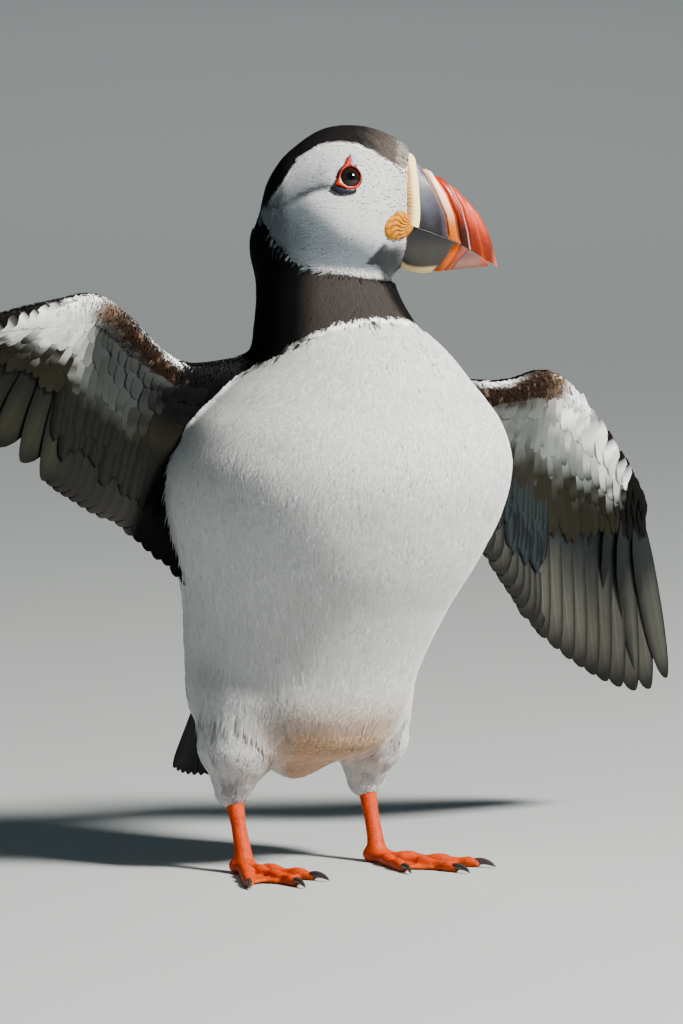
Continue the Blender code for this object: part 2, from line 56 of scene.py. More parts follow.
# Trunk and neck as level ovals: up, the centre's left and forward, half length, half width, turn to the left.
BODY = [
    (30.0, 0.0, -7.0, 3.0, 3.0, 0.0), (36.0, 0.0, -7.0, 14.0, 12.0, 0.0), (41.0, 0.0, -7.0, 27.0, 25.0, 0.0),
    (51.0, 0.0, -5.5, 36.0, 34.0, 0.0), (69.0, 0.0, -2.0, 42.0, 38.0, 0.0), (89.0, 0.0, 5.6, 47.2, 43.0, 0.0),
    (107.0, 0.0, 12.4, 53.6, 50.0, 0.0), (121.0, 0.0, 15.6, 57.3, 55.6, 0.0), (131.0, 0.0, 17.8, 58.8, 57.2, 0.0),
    (138.0, 0.2, 19.4, 58.0, 56.7, 0.0), (144.0, 0.6, 20.8, 55.6, 54.5, 0.0), (150.0, 1.0, 21.6, 52.0, 51.4, 0.0),
    (160.0, 2.0, 22.4, 43.5, 42.5, 5.0), (171.0, 3.0, 21.0, 36.0, 31.5, 15.0), (182.0, 2.5, 13.5, 28.0, 24.5, 30.0),
    (190.0, 3.0, 9.0, 24.5, 22.0, 42.0), (198.0, 3.5, 5.5, 23.0, 19.8, 50.0), (206.0, 3.2, 4.2, 23.6, 18.8, 55.0),
    (214.0, 3.2, 4.7, 22.8, 17.0, 55.0), (220.0, 4.0, 5.2, 19.0, 14.0, 55.0), (224.0, 4.5, 5.5, 13.0, 9.0, 55.0),
]
BODY_COAT = [(30, 1.5), (60, 2.0), (150, 2.1), (176, 1.8), (200, 1.4), (224, 1.2)]  # up, depth of the plumage

# Head as sections square to the line of the bill: along, top, bottom, half width, from the head's centre.
HEAD_CENTRE = (5.1, -8.8, 222.7)
HEAD_YAW = math.radians(55.0)
HEAD = [
    (-24.0, 0.0, -7.0, 2.5), (-22.0, 5.5, -12.0, 8.5), (-18.0, 13.0, -18.0, 13.5), (-11.5, 19.6, -23.5, 17.4),
    (-3.5, 24.6, -26.0, 19.2), (5.4, 25.9, -26.4, 18.6), (14.7, 24.3, -26.0, 15.0), (20.5, 21.6, -23.6, 11.2),
    (25.3, 18.2, -20.0, 8.4),
]
CHEEK_HEIGHT = -4.0  # where the head is widest
HEAD_COAT = 1.2  # depth of the plumage
# The groove behind the eye: along, up.
CREASE = [(2.0, 4.6), (-0.5, 5.7), (-3.0, 5.4), (-6.2, 4.3), (-10.2, 2.8), (-14.2, 1.4), (-20.0, 0.0)]

# Wings: pairs of points, leading edge and feather tips behind it, from the shoulder to the wing's point.
WINGS = {
    "left": [
        ((24.0, -2.0, 164.0), (42.0, 8.0, 108.0)), ((70.0, -11.0, 160.0), (76.0, 6.5, 103.0)),
        ((93.0, -10.0, 164.5), (103.5, 14.0, 75.5)), ((112.0, -5.0, 152.5), (121.0, 21.0, 64.0)),
        ((135.5, 3.0, 129.5), (138.0, 29.5, 56.0)), ((156.5, 18.0, 106.5), (154.5, 37.5, 49.5)),
        ((177.5, 34.0, 77.0), (172.5, 44.5, 45.0)), ((190.5, 48.0, 49.5), (189.0, 49.0, 46.5)),
    ],
    "right": [
        ((-22.0, -2.0, 171.0), (-39.0, 9.0, 93.0)), ((-54.5, -4.5, 172.0), (-66.0, 8.0, 114.0)),
        ((-80.5, -2.0, 194.0), (-87.5, 14.0, 127.0)), ((-98.0, 0.0, 193.5), (-102.5, 18.0, 140.0)),
        ((-122.5, 4.0, 188.0), (-123.5, 22.0, 149.5)), ((-151.0, 16.0, 177.0), (-149.5, 30.0, 146.5)),
        ((-180.0, 31.0, 160.5), (-178.0, 40.0, 140.0)), ((-206.0, 47.0, 143.0), (-204.5, 47.5, 140.5)),
    ],
}
HAND_END = 5.0  # where the flesh of the hand ends, counted in those pairs, as s is
WING_CAMBER = 5.0  # how far a wing is arched at the middle of its chord
# A thigh's middle line from the hip to the heel, and its radius at each point.
THIGH = ((24.0, 1.0, 58.0), (26.5, 1.5, 43.0), (27.0, 4.0, 27.5))
THIGH_RADII = (14.2, 12.2, 4.8)

STEP = 1.4  # spacing of the grid that the flesh is worked out on
LOW, HIGH = np.array([-162.0, -84.0, 20.0]), np.array([168.0, 56.0, 254.0])

# From the point between the ankles to the CAD frame's origin: it lies midway between the feet, whose hind ends are
# 1.58 mm behind it.
left_foot, right_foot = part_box("foot_left"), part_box("foot_right")
SHIFT = np.array([(left_foot[0].x + right_foot[1].x) * 500, left_foot[1].y * 1000 - 1.58, 0.0])


def through(stations, x):
    """Smooth values at x of the columns of stations: in each gap a cubic that keeps the slope from row to row."""
    rows = np.asarray(stations, float)
    place, value = rows[:, 0], rows[:, 1:]
    slope = np.gradient(value, place, axis=0)
    x = np.clip(np.asarray(x, float), place[0], place[-1])
    i = np.clip(np.searchsorted(place, x, side="right") - 1, 0, len(place) - 2)
    step = (place[i + 1] - place[i])[..., None]
    t = (x - place[i])[..., None] / step
    ease = t * t * (3 - 2 * t)
    bend = t * (1 - t) ** 2 * slope[i] - t * t * (1 - t) * slope[i + 1]
    return value[i] * (1 - ease) + value[i + 1] * ease + step * bend


def read_line(line, x):
    """The value at x on a line of (place, value) points, straight from each to the next."""
    return np.interp(x, *zip(*line))


def hump(x, width):
    """1 where x is 0, falling to either side as a bell curve of this width."""
    return np.exp(-((x / width) ** 2))


def unit(vectors):
    """Vectors divided by their own lengths."""
    return vectors / np.maximum(np.linalg.norm(vectors, axis=-1, keepdims=True), 1e-9)


def to_head(points):
    """Aside, along and up in the head's frame: a turn by the yaw about the head's centre."""
    x, y, z = np.moveaxis(points - np.array(HEAD_CENTRE), -1, 0)
    sin, cos = math.sin(HEAD_YAW), math.cos(HEAD_YAW)
    return np.stack([x * cos + y * sin, x * sin - y * cos, z], axis=-1)


def from_head(points):
    """Places in the head's frame turned back by the yaw and moved to the head's centre."""
    aside, along, up = np.moveaxis(np.asarray(points, float), -1, 0)
    sin, cos = math.sin(HEAD_YAW), math.cos(HEAD_YAW)
    turned = np.stack([along * sin + aside * cos, -along * cos + aside * sin, up], axis=-1)
    return turned + np.array(HEAD_CENTRE)


def oval_distance(a, b, reach_a, reach_b):
    """Rough distance from an oval: how far past the rim the point lies, over how fast that grows there."""
    ratio = np.sqrt((a / reach_a) ** 2 + (b / reach_b) ** 2)
    slope = np.sqrt((a / reach_a**2) ** 2 + (b / reach_b**2) ** 2) / np.maximum(ratio, 1e-6)
    return (ratio - 1) / np.maximum(slope, 1 / np.maximum(reach_a, reach_b))


def trunk_distance(points):
    """Distance from the trunk and neck, as level ovals whose sizes run smoothly with height."""
    x, y, z = np.moveaxis(points, -1, 0)
    left, forward, half_length, half_width, turned = np.moveaxis(through(BODY, z), -1, 0)
    dx, dy, turn = x - left, -y - forward, np.radians(turned)
    aside = dx * np.cos(turn) - dy * np.sin(turn)
    along = dx * np.sin(turn) + dy * np.cos(turn)
    ends = np.maximum(BODY[0][0] - z, z - BODY[-1][0])
    return np.maximum(oval_distance(aside, along, half_width, half_length), ends)


def line_distance(a, b, line):
    """Distance in a plane from a line through a few points."""
    found = np.full(np.shape(a), 1e9)
    for (a0, b0), (a1, b1) in zip(line[:-1], line[1:]):
        run = (a1 - a0) ** 2 + (b1 - b0) ** 2
        t = np.clip(((a - a0) * (a1 - a0) + (b - b0) * (b1 - b0)) / run, 0, 1)
        found = np.minimum(found, np.hypot(a - a0 - t * (a1 - a0), b - b0 - t * (b1 - b0)))
    return found


def head_distance(points):
    """Distance from the head: in each section an oval, taller above the cheek than below it or the other way about."""
    aside, along, up = np.moveaxis(to_head(points), -1, 0)
    top, bottom, half_width = np.moveaxis(through(HEAD, along), -1, 0)
    reach = np.where(up > CHEEK_HEIGHT, top - CHEEK_HEIGHT, CHEEK_HEIGHT - bottom)
    ends = np.maximum(HEAD[0][0] - along, along - HEAD[-1][0])
    groove = 0.8 * hump(line_distance(along, up, CREASE), 1.5)
    return np.maximum(oval_distance(aside, up - CHEEK_HEIGHT, half_width, reach), ends) + groove


def limb_distance(points, path, radii):
    """Distance from a limb whose radius runs evenly between the points of its path."""
    found = np.full(points.shape[:-1], 1e9)
    for a, b, ra, rb in zip(path[:-1], path[1:], radii[:-1], radii[1:]):
        a, b = np.asarray(a, float), np.asarray(b, float)
        t = np.clip((points - a) @ (b - a) / ((b - a) @ (b - a)), 0, 1)
        away = np.linalg.norm(points - a - t[..., None] * (b - a), axis=-1)
        found = np.minimum(found, away - ra - t * (rb - ra))
    return found


def wing_lines(pairs):
    """The two edges of a wing as stations that through() can read."""
    return [[(i, *pair[edge]) for i, pair in enumerate(pairs)] for edge in (0, 1)]


def wing_place(pairs, s, t, height):
    """A place over the wing's mid surface, and the direction of the back of the wing there. The surface runs straight
    from the leading edge to the tips, arched backwards by a half sine."""
    lines = wing_lines(pairs)

    def flat(s, t):
        """The share t of the way from the leading edge to the tips."""
        lead, tips = (through(line, s) for line in lines)
        return lead + (tips - lead) * np.asarray(t)[..., None]

    step = 0.01
    along = flat(np.minimum(s + step, 7), t) - flat(np.maximum(s - step, 0), t)
    chord = flat(s, t + step) - flat(s, t - step)
    dorsal = unit(np.cross(along, chord))
    dorsal = dorsal * np.where(dorsal[..., 1:2] < 0, -1.0, 1.0)
    arch = WING_CAMBER * np.clip((7.0 - s) / 3.0, 0, 1) * np.sin(math.pi * np.clip(t, 0, 1)) ** 0.8
    return flat(s, t) + dorsal * (arch + height)[..., None], dorsal


def join_part(flesh, distance, low, high, blend, origin=LOW, step=STEP):
    """Merges a part into the flesh inside its box: a minimum rounded over blend mm, of distances of slope one."""
    first = np.maximum(((np.array(low) - origin) / step).astype(int), 0)
    last = np.minimum(((np.array(high) - origin) / step).astype(int) + 2, flesh.shape)
    block = tuple(slice(a, b) for a, b in zip(first, last))
    axes = [origin[k] + step * np.arange(first[k], last[k]) for k in range(3)]
    found = distance(np.stack(np.meshgrid(*axes, indexing="ij"), axis=-1))
    slope = np.sqrt(sum(g * g for g in np.gradient(found, step)))
    found = found / np.maximum(slope, 0.5)
    old = flesh[block]
    share = np.clip(0.5 + 0.5 * (old - found) / blend, 0, 1)
    flesh[block] = old + (found - old) * share - blend * share * (1 - share)


def nets(field, low, step):
    """Closed surface where a grid of distances passes zero: a point in each cell crossed, at the mean of its edge
    crossings, and a quad round each crossed edge, turned to face the positive side."""
    around = np.array([(0, 0), (-1, 0), (-1, -1), (0, -1)])
    cells, places = [], []
    for axis in range(3):
        low_end, high_end = [slice(None)] * 3, [slice(None)] * 3
        low_end[axis], high_end[axis] = slice(None, -1), slice(1, None)
        start, end = field[tuple(low_end)], field[tuple(high_end)]
        index = np.argwhere((start < 0) != (end < 0))
        a, b = start[tuple(index.T)], end[tuple(index.T)]
        place = index.astype(float)
        place[:, axis] += a / (a - b)
        offset = np.zeros((4, 3), int)
        offset[:, [(axis + 1) % 3, (axis + 2) % 3]] = around
        four = index[:, None] + offset
        cells.append(np.where((a < 0)[:, None, None], four, four[:, ::-1]))
        places.append(np.repeat(place[:, None], 4, axis=1))
    cells, places = np.concatenate(cells), np.concatenate(places).reshape(-1, 3)
    flat = np.ravel_multi_index(cells.reshape(-1, 3).T, field.shape)
    _, quads, count = np.unique(flat, return_inverse=True, return_counts=True)
    quads = quads.reshape(-1)
    points = np.stack([np.bincount(quads, places[:, k]) for k in range(3)], axis=-1) / count[:, None]
    return low + step * points, quads.reshape(-1, 4)


def read_grid(values, points):
    """A grid's values at points, blended from the eight corners of the cell round each."""
    at = np.clip((points - LOW) / STEP, 0, np.array(values.shape[:3]) - 1.001)
    i = at.astype(int)
    t = at - i
    total = 0
    for corner in np.ndindex(2, 2, 2):
        weight = np.prod(np.where(corner, t, 1 - t), axis=-1)
        total = total + (values[tuple((i + corner).T)].T * weight).T
    return total


def lift(points, height):
    """Points moved along the skin's outward direction until they stand this high over it."""
    for _ in range(2):
        slope = read_grid(SLOPE, points)
        steep = np.maximum((slope * slope).sum(axis=-1), 0.1)
        points = points + slope * ((height - read_grid(FLESH, points)) / steep)[:, None]
    return points


# Distances from the skin on a grid, 20 mm or more being far away, and the way in which they grow.
FLESH = np.full(np.ceil((HIGH - LOW) / STEP).astype(int), 20.0)
box = (-66, -84, 28), (66, 56, 230)
join_part(FLESH, lambda p: trunk_distance(p) + read_line(BODY_COAT, p[..., 2]), *box, 1.0)
join_part(FLESH, lambda p: head_distance(p) + HEAD_COAT, (-32, -45, 190), (44, 30, 254), 4.0)
for side, left_end in ((1, 6), (-1, -46)):
    hip = [np.array(p) * (side, 1, 1) for p in THIGH]
    box = (left_end, -24, 20), (left_end + 40, 28, 80)
    join_part(FLESH, lambda p: limb_distance(p, hip, THIGH_RADII), *box, 6.0)
for pairs in WINGS.values():
    along = np.linspace(0, HAND_END, 21)
    for share, thick in ((0.05, 2.6), (0.11, 2.4), (0.17, 2.0), (0.23, 1.5), (0.29, 1.0)):
        path, _ = wing_place(pairs, along, share + 0 * along, 0 * along)
        radii = np.interp(along, [0, 0.8, 2, 3.4, HAND_END], [1.6, 1.1, 1.0, 0.75, 0.22]) * thick
        reach = radii.max() + 8
        box = path.min(axis=0) - reach, path.max(axis=0) + reach
        join_part(FLESH, lambda p: limb_distance(p, path, radii), *box, 4.0)
FLESH = FLESH.astype(np.float32)
SLOPE = np.stack(np.gradient(FLESH, STEP), axis=-1)
skin_points, skin_quads = nets(FLESH, LOW, STEP)
skin_points = lift(skin_points, 0.0)


def linear(code):
    """An sRGB hex colour as linear light: straight below 0.04045, a power of 2.4 above."""
    share = np.array([int(code[i : i + 2], 16) for i in (1, 3, 5)]) / 255
    return np.where(share <= 0.04045, share / 12.92, ((share + 0.055) / 1.055) ** 2.4)


def ripple(points, size, seed):
    """Soft noise from -1 to 1, as a sum of slanting waves about size mm long."""
    draw = np.random.default_rng(seed)
    total = 0
    for k in range(6):
        way = unit(draw.normal(size=3)) * 2 * math.pi / (size * (0.7 + 0.25 * k))
        total = total + np.sin(points @ way + draw.uniform(0, 2 * math.pi))
    return total / 3.0


def ease(x, start, end):
    """0 before start and 1 after end, with a smooth step between."""
    t = np.clip((x - start) / (end - start), 0, 1)
    return t * t * (3 - 2 * t)


def mix(a, b, share):
    """Colour a moved towards b by a share from 0 to 1. Either may be an sRGB hex code."""
    a, b = (linear(one) if isinstance(one, str) else one for one in (a, b))
    return a + (b - a) * np.asarray(share)[..., None]


# The grey of the ear and of the chin is partly painted shade, and the throat's near-black is painted shadow and shade.
WHITE, BACK, COLLAR, COLLAR_SHADE = "#f6f6f4", "#060608", "#332f2d", "#020305"
CAP, FOREHEAD, CHEEK, FACE_GREY_AND_SHADE = "#181617", "#504a46", "#e6e8e9", "#5a6871"
CHIN_GREY_AND_SHADE, THIGH_GREY, BELLY_WARM = "#14191d", "#6a666c", "#cc8c48"
# Edges of the cap and the collar in the head's frame: along, up.
CAP_EDGE = [
    (-23.3, -1.2), (-16.9, 6.8), (-9.6, 15.6), (-2.6, 18.8), (4.4, 19.6), (8.7, 18.6), (15.7, 15.3), (22.7, 11.0),
    (26, 8),
]
COLLAR_EDGE = [(-24.3, -5.2), (-19.9, -12.3), (-13.9, -18.6), (-6.6, -22.4), (3.1, -23.6), (15.7, -24.8), (26, -26.5)]
# Where the white breast ends below the collar: degrees from the front, up.
BREAST_TOP = [(0, 185.5), (31, 183.6), (63, 178), (94, 171.6), (115, 167), (180, 166)]
# How far round the trunk the white reaches: up, degrees from the front.
WHITE_REACH = [(36, 116), (45, 119), (60, 123), (75, 129), (100, 128), (150, 122), (160, 118), (167, 112)]


def round_body(points):
    """Degrees round the trunk from the front, either way, at each point."""
    left, forward = np.moveaxis(through(BODY, points[..., 2])[..., :2], -1, 0)
    return np.degrees(np.arctan2(points[..., 0] - left, -points[..., 1] - forward))


def on_head(points):
    """0 on the neck to 1 on the head, by how much nearer the head's surface is than the trunk's."""
    return ease(trunk_distance(points) - head_distance(points), -5.2, -4.0)


def markings(points):
    """The plumage's colour: a white face between dark cap and collar, a white front, and black above and behind."""
    _, along, up = np.moveaxis(to_head(points), -1, 0)
    wave, grain = 0.5 * ripple(points, 4.0, 1), ripple(points, 1.7, 2)
    # The face is white, grey over the ear and along the jaw, with a dark chin and a dark groove behind the eye. The
    # grey
    #     # behind and under the cheek, the chin's darkness and the groove's dark line are partly or wholly painted
    #     shade.
    over_crease = up - read_line(sorted(CREASE), along)
    over_collar = up - read_line(COLLAR_EDGE, along)
    # Painted shade: below greys the lower and rear face under the bulge of the cheek, and above greys the band over the
    # groove.
    below = ease(np.interp(along, [-18, -8, -1, 5, 13, 20], [8, 4.8, -1.4, -6.2, -10, -13]) - up, -2.5, 7.0)
    below *= 1 - ease(-over_collar, -4.5, -1.0) * ease(along, -9, -2)
    above = 0.9 * ease(over_crease, -0.5, 0.5) * ease(-over_crease, -13, 0) * ease(-along, -3, 4)
    face = mix(CHEEK, FACE_GREY_AND_SHADE, 0.92 * np.maximum(below, above))
    past_jaw = along - np.interp(up, [-25, -19.3, -18.8, -12.7], [15.4, 14.6, 11.4, 16.6])
    # The chin is grey, and is painted far darker as shade under the cheek.
    chin_grey_and_shade = ease(past_jaw + 0.4 * wave, -0.9, 1.6) * ease(-up, 10.5, 15.5) * ease(-along, -27.5, -20.5)
    face = mix(face, CHIN_GREY_AND_SHADE, 0.97 * chin_grey_and_shade)
    # A painted shadow in the fold under the cheek, beside the jaw.
    fold_shadow = line_distance(along, up, [(17.2, -13.4), (12.6, -18.4), (15.6, -18.2)])
    face = mix(face, "#12171d", 0.9 * hump(fold_shadow, 1.3) * ease(past_jaw, -0.6, 0.6))
    # The groove behind the eye is painted dark, as its shade.
    crease_shade = hump(line_distance(along, up, CREASE), 1.1)
    face = mix(face, "#2c343b", 0.85 * crease_shade * ease(-along, -4, 0) * ease(along, -22, -6))
    # The cap is black, paler over the bill. The collar is painted darker at the throat, where the head's shadow falls,
    # and
    #     # towards the back, as painted shade.
    cap = mix(CAP, FOREHEAD, ease(along + 1.5 * grain, 8, 23) * 0.9)
    cap = mix(cap, "#9a948c", 0.6 * ease(along + 0.8 * grain, 20.5, 25))
    head = mix(face, cap, ease(up - read_line(CAP_EDGE, along) + 0.6 * wave, -0.5, 0.5))
    throat_shadow = ease(along - np.interp(up, [-37.5, -31, -24], [20.5, 16.2, 13.8]) + 0.4 * wave, -1.0, 1.0)
    collar = mix(COLLAR, COLLAR_SHADE, np.maximum(0.85 * throat_shadow, 0.9 * ease(-along, 3, 12)))
    head = mix(head, collar, ease(0.4 * wave - over_collar, -0.5, 0.5))
    head = mix(head, collar, ease(-along, 23.0, 24.0))
    # The body is white in front, warmer between the legs and grey on the thighs, and black behind.
    turn, height = np.abs(round_body(points)), points[..., 2]
    body = mix(WHITE, BELLY_WARM, 0.85 * ease(-height, -72, -48) * ease(-turn, -75, -25))
    legs = ease(-height + 4 * wave, -66, -48) * ease(turn, 18, 40)
    streaks = ripple(points * (1, 1, 0.22), 3.6, 3) + 0.4 * ripple(points, 14.0, 4)
    body = mix(body, THIGH_GREY, 0.6 * legs * ease(streaks, -0.1, 1.1))
    over_breast = height - read_line(BREAST_TOP, turn) + 2.2 * wave
    behind = turn - read_line(WHITE_REACH, height) + 3.0 * wave
    dark = mix(BACK, collar, ease(height, 160, 185) * ease(-turn, -140, -60))
    body = mix(body, dark, np.maximum(ease(over_breast, -0.8, 0.8), ease(behind, -1.5, 1.5)))
    return np.clip(mix(body, head, on_head(points)), 0, 1)


def outward(points, faces):
    """Faces of a closed surface, all turned round if they hold a negative volume."""
    flat = points.reshape(-1, 3) - points.reshape(-1, 3).mean(axis=0)
    fans = [flat[f] for f in faces]
    volume = sum((fan[:, :1] * np.cross(fan[:, 1:-1], fan[:, 2:])).sum() for fan in fans)
    return faces if volume > 0 else [f[:, ::-1] for f in faces]


def put(name, data):
    """An object of this name in the scene."""
    made = bpy.data.objects.new(name, data)
    bpy.context.scene.collection.objects.link(made)
    return made


def set_node(tree, node, links=(), **settings):
    """Sets a shader node's sockets or properties by name, with _ for a space, and joins its links, each given as
    (socket, node, output)."""
    for key, value in settings.items():
        socket = key.replace("_", " ")
        if socket in node.inputs:
            node.inputs[socket].default_value = value
        else:
            setattr(node, key, value)
    for socket, source, output in links:
        tree.links.new(node.inputs[socket], source.outputs[output])
    return node


def add_node(tree, kind, links=(), **settings):
    """One new shader node, set and joined."""
    return set_node(tree, tree.nodes.new(kind), links, **settings)


def new_material(name, roughness, **sockets):
    """A Principled material with its constant sockets set, ready for links."""
    made = bpy.data.materials.new(name)
    made.use_nodes = True
    shader = made.node_tree.nodes["Principled BSDF"]
    set_node(made.node_tree, shader, Roughness=roughness, **sockets)
    return made, made.node_tree, shader


def solid(name, points, faces, finish, colours=None, tubes=None, bake=None, nodes=(), normals=None):
    """A finished piece. Points are in millimetres and faces are arrays of corners, one array for each face size.
    Colours and tubes, a place on a feather, are kept for each point, bake for each corner, and normals for either."""

    def fill(rows, key, values, kind=np.float32):
        """Sets one property of every row."""
        rows.foreach_set(key, np.ascontiguousarray(values, kind).reshape(-1))

    mesh = bpy.data.meshes.new(name)
    placed = (np.asarray(points, float).reshape(-1, 3) + SHIFT) * 0.001
    sizes = np.concatenate([np.full(len(f), f.shape[1]) for f in faces])
    corners = np.concatenate([f.reshape(-1) for f in faces])
    mesh.vertices.add(len(placed))
    fill(mesh.vertices, "co", placed)
    mesh.loops.add(len(corners))
    fill(mesh.loops, "vertex_index", corners, np.int32)
    mesh.polygons.add(len(sizes))
    fill(mesh.polygons, "loop_start", np.cumsum(sizes) - sizes, np.int32)
    mesh.update(calc_edges=True)
    if colours is not None:
        rgba = np.concatenate([colours.reshape(-1, 3), np.ones((len(placed), 1))], axis=1)
        fill(mesh.color_attributes.new("plumage", "FLOAT_COLOR", "POINT").data, "color", rgba)
    if tubes is not None:
        fill(mesh.attributes.new("vane", "FLOAT_VECTOR", "POINT").data, "vector", tubes)
    if bake is not None:
        fill(mesh.uv_layers.new(name="OFBake").data, "uv", bake)
    mesh.materials.append(finish)
    mesh.shade_smooth()
    if normals is not None and normals.size == 3 * len(corners):
        mesh.normals_split_custom_set(normals.reshape(-1, 3))
    elif normals is not None:
        mesh.normals_split_custom_set_from_vertices(normals.reshape(-1, 3))
    made = put(name, mesh)
    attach(made, "root")
    if nodes:
        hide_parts(*nodes)
    return made


# Tanned bird skin: thin, matt and slightly waxy, tinted by the down at the feathers' roots.
skin_finish, tree, shader = new_material("bird_skin", 0.75, IOR=1.45, Specular_IOR_Level=0.25)
colour = add_node(tree, "ShaderNodeAttribute", attribute_name="plumage")
place = add_node(tree, "ShaderNodeTexCoord")
pores = add_node(tree, "ShaderNodeTexNoise", [("Vector", place, "Object")], Scale=1400.0, Detail=3.0)
relief = add_node(tree, "ShaderNodeBump", [("Height", pores, "Fac")], Strength=0.3, Distance=0.0004)
set_node(tree, shader, [("Base Color", colour, "Color"), ("Normal", relief, "Normal")])


def off_trunk(points):
    """How far outside the bare trunk and head a place on the skin lies: over 1 mm only on limbs."""
    return np.minimum(trunk_distance(points) + read_line(BODY_COAT, points[..., 2]), head_distance(points) + 1)


# How far the coverts reach behind the leading edge: s along the wing, share of the chord.
COVERT_EDGE = [(0.0, 0.6), (2.0, 0.6), (3.0, 0.5), (4.0, 0.3), (5.0, 0.04), (5.2, 0.0), (7.0, 0.0)]
UNDER_WHITE, UNDER_GREY, UNDER_OLIVE = linear("#f0f1f0"), linear("#767d7b"), linear("#1a1912")
UNDER_BROWN, UNDER_TAN, LINING = linear("#1e140e"), linear("#5e4c3e"), linear("#f6f5f2")
QUILL_DARK, ABOVE = linear("#080707"), linear("#070709")


def under_colour(s, t, grain, wing):
    """The lining of the wing at (s, t): black at the shoulder, then a white edge and a brown mottled band along the
    forearm, a tan wrist, a dark edge on the hand, pale coverts and dusk behind them."""
    left = wing == "left"
    arm = ease(-s, -2.25, -1.75) if left else ease(-s, -2.38, -1.9)
    reach = t / np.maximum(read_line(COVERT_EDGE, s), 0.05)
    # Pale coverts, dusky towards their ends. On the right wing the forearm's coverts are painted dark grey, as painted
    #     # shade on that part of the wing.
    grey = UNDER_GREY * np.asarray(0.66 - 0.31 * arm if left else 0.6 - 0.4 * arm)[..., None]
    shaded = ease(t + 0.06 * grain + 0.12 * arm, 0.02, (0.25 if left else 0.3) - 0.06 * arm)
    pale = mix(UNDER_WHITE, grey, shaded * (0.97 if left else 0.5 + 0.5 * arm))
    ends = 0.5 - 0.04 * arm if left else 0.48 + 0.2 * arm
    pale = mix(pale, UNDER_OLIVE, ease(reach + 0.10 * grain, ends, ends + 0.24) * (1 - 0.03 * arm))
    # The mottled band behind the forearm's white edge, and the tan wrist.
    flecks = mix(UNDER_BROWN, UNDER_TAN, ease(grain, 0.6, 1.1) * 0.8)
    flecks = mix(flecks, UNDER_TAN, 0.85 * ease(s + 0.12 * grain, 1.8, 2.05))
    line = 0.030 if left else np.interp(s, [0.9, 1.3, 1.9], [0.010, 0.022, 0.036])
    end = -0.17 if left else -0.135
    brown = ease(t, line, line + 0.015) * ease(-t - 0.02 * grain, end, end + 0.05)
    pale = mix(pale, flecks, np.clip(brown * ease(-s - 0.1 * grain, -2.3, -2.05), 0, 1))
    wrist = hump(s - 2.03, 0.2) * ease(-t, -0.16, -0.05)
    pale = mix(pale, UNDER_TAN, 0.5 * np.clip(wrist * (0.8 + 0.4 * grain), 0, 1))
    pale = mix(pale, LINING, ease(-s, -2.0, -1.8) * ease(-t, -line - 0.008, -line + 0.008))
    # The dark edge of the hand, with a brown line behind it.
    rim = np.interp(s, [2.1, 3.0, 4.0, 5.0], [0.02, 0.03, 0.06, 0.5] if left else [0.02, 0.035, 0.10, 0.3])
    rim = ease(s + 0.1 * grain, 2.1, 2.4) * ease(rim + 0.012 * grain - t, -0.01, 0.015)
    pale = mix(pale, QUILL_DARK, rim)
    pale = mix(pale, UNDER_BROWN, 0.7 * ease(s, 2.1, 2.5) * hump(t - 0.05, 0.02) * ease(grain, -0.1, 0.5))
    # The black of the shoulder.
    behind = ease(t, 0.08, 0.25)
    inner = ease((0.86 if left else 1.02) + 0.3 * behind - s - 0.08 * grain, 0.0, 0.14 + 0.2 * behind)
    return mix(pale, mix(ABOVE, UNDER_OLIVE, ease(t, 0.25, 0.45)), inner)


def along_wing(points, pairs):
    """Where places lie on a wing, by the nearest of many points on its line: s along it, t across its chord, that
    chord, the way to the wing's point, and the direction of its back."""
    fine = np.linspace(0, HAND_END + 0.3, 160)
    lead, tips = (through(line, fine) for line in wing_lines(pairs))
    nearest = np.argmin(((points[:, None] - (lead + 0.12 * (tips - lead))) ** 2).sum(axis=-1), axis=1)
    chord = tips[nearest] - lead[nearest]
    t = ((points - lead[nearest]) * chord).sum(axis=-1) / (chord**2).sum(axis=-1)
    s = fine[nearest]
    _, dorsal = wing_place(pairs, s, np.clip(t, 0, 1), 0 * s)
    return s, t, chord, np.gradient(lead, axis=0)[nearest], dorsal


def wing_markings(points, wing):
    """The colours of the skin and of the small feathers on a wing: black above, and its lining below."""
    s, t, _, _, dorsal = along_wing(points, WINGS[wing])
    over = np.where(s > 2.1, -0.1, 0.0 if wing == "left" else 0.55)
    above = (read_grid(SLOPE, points) * dorsal).sum(axis=-1) > over
    shift = 0.015 + (0.008 if wing == "left" else -0.018) * ease(-s, -2.0, -1.6)
    tone = under_colour(s, np.maximum(t + shift, 0), ripple(points, 1.8, 8), wing)
    tone = mix(tone, QUILL_DARK, ease(s, 2.9, 3.4) * ease(-t, -0.08, -0.03))
    return np.where(above[:, None], ABOVE, tone), above


limb = off_trunk(skin_points)
on_wing = (limb > 1.2) & (skin_points[:, 2] > 85)
skin_colours = markings(skin_points) * 0.93
for wing, side in (("left", 1), ("right", -1)):
    here = on_wing & (skin_points[:, 0] * side > 0)
    skin_colours[here] = wing_markings(skin_points[here], wing)[0] * 0.93
FLESH_NODES = ["trunk", "neck", "head", "thigh_left", "thigh_right"]
FLESH_NODES += [f"wing_{side}_{part}" for side in ("left", "right") for part in ("arm", "hand")]
solid("skin", skin_points, [skin_quads], skin_finish, colours=skin_colours, nodes=FLESH_NODES)

# ---------------------------------------------------------------- body plumage
# Contour feathers: each is a soft vane a few millimetres wide that lies back along the body over the next ones. At
# this size a feather reads as a pointed lock, so each is a closed, three-sided blade rooted in the skin. They are
# smallest on the face, plush on the neck and longest on the flanks and belly.

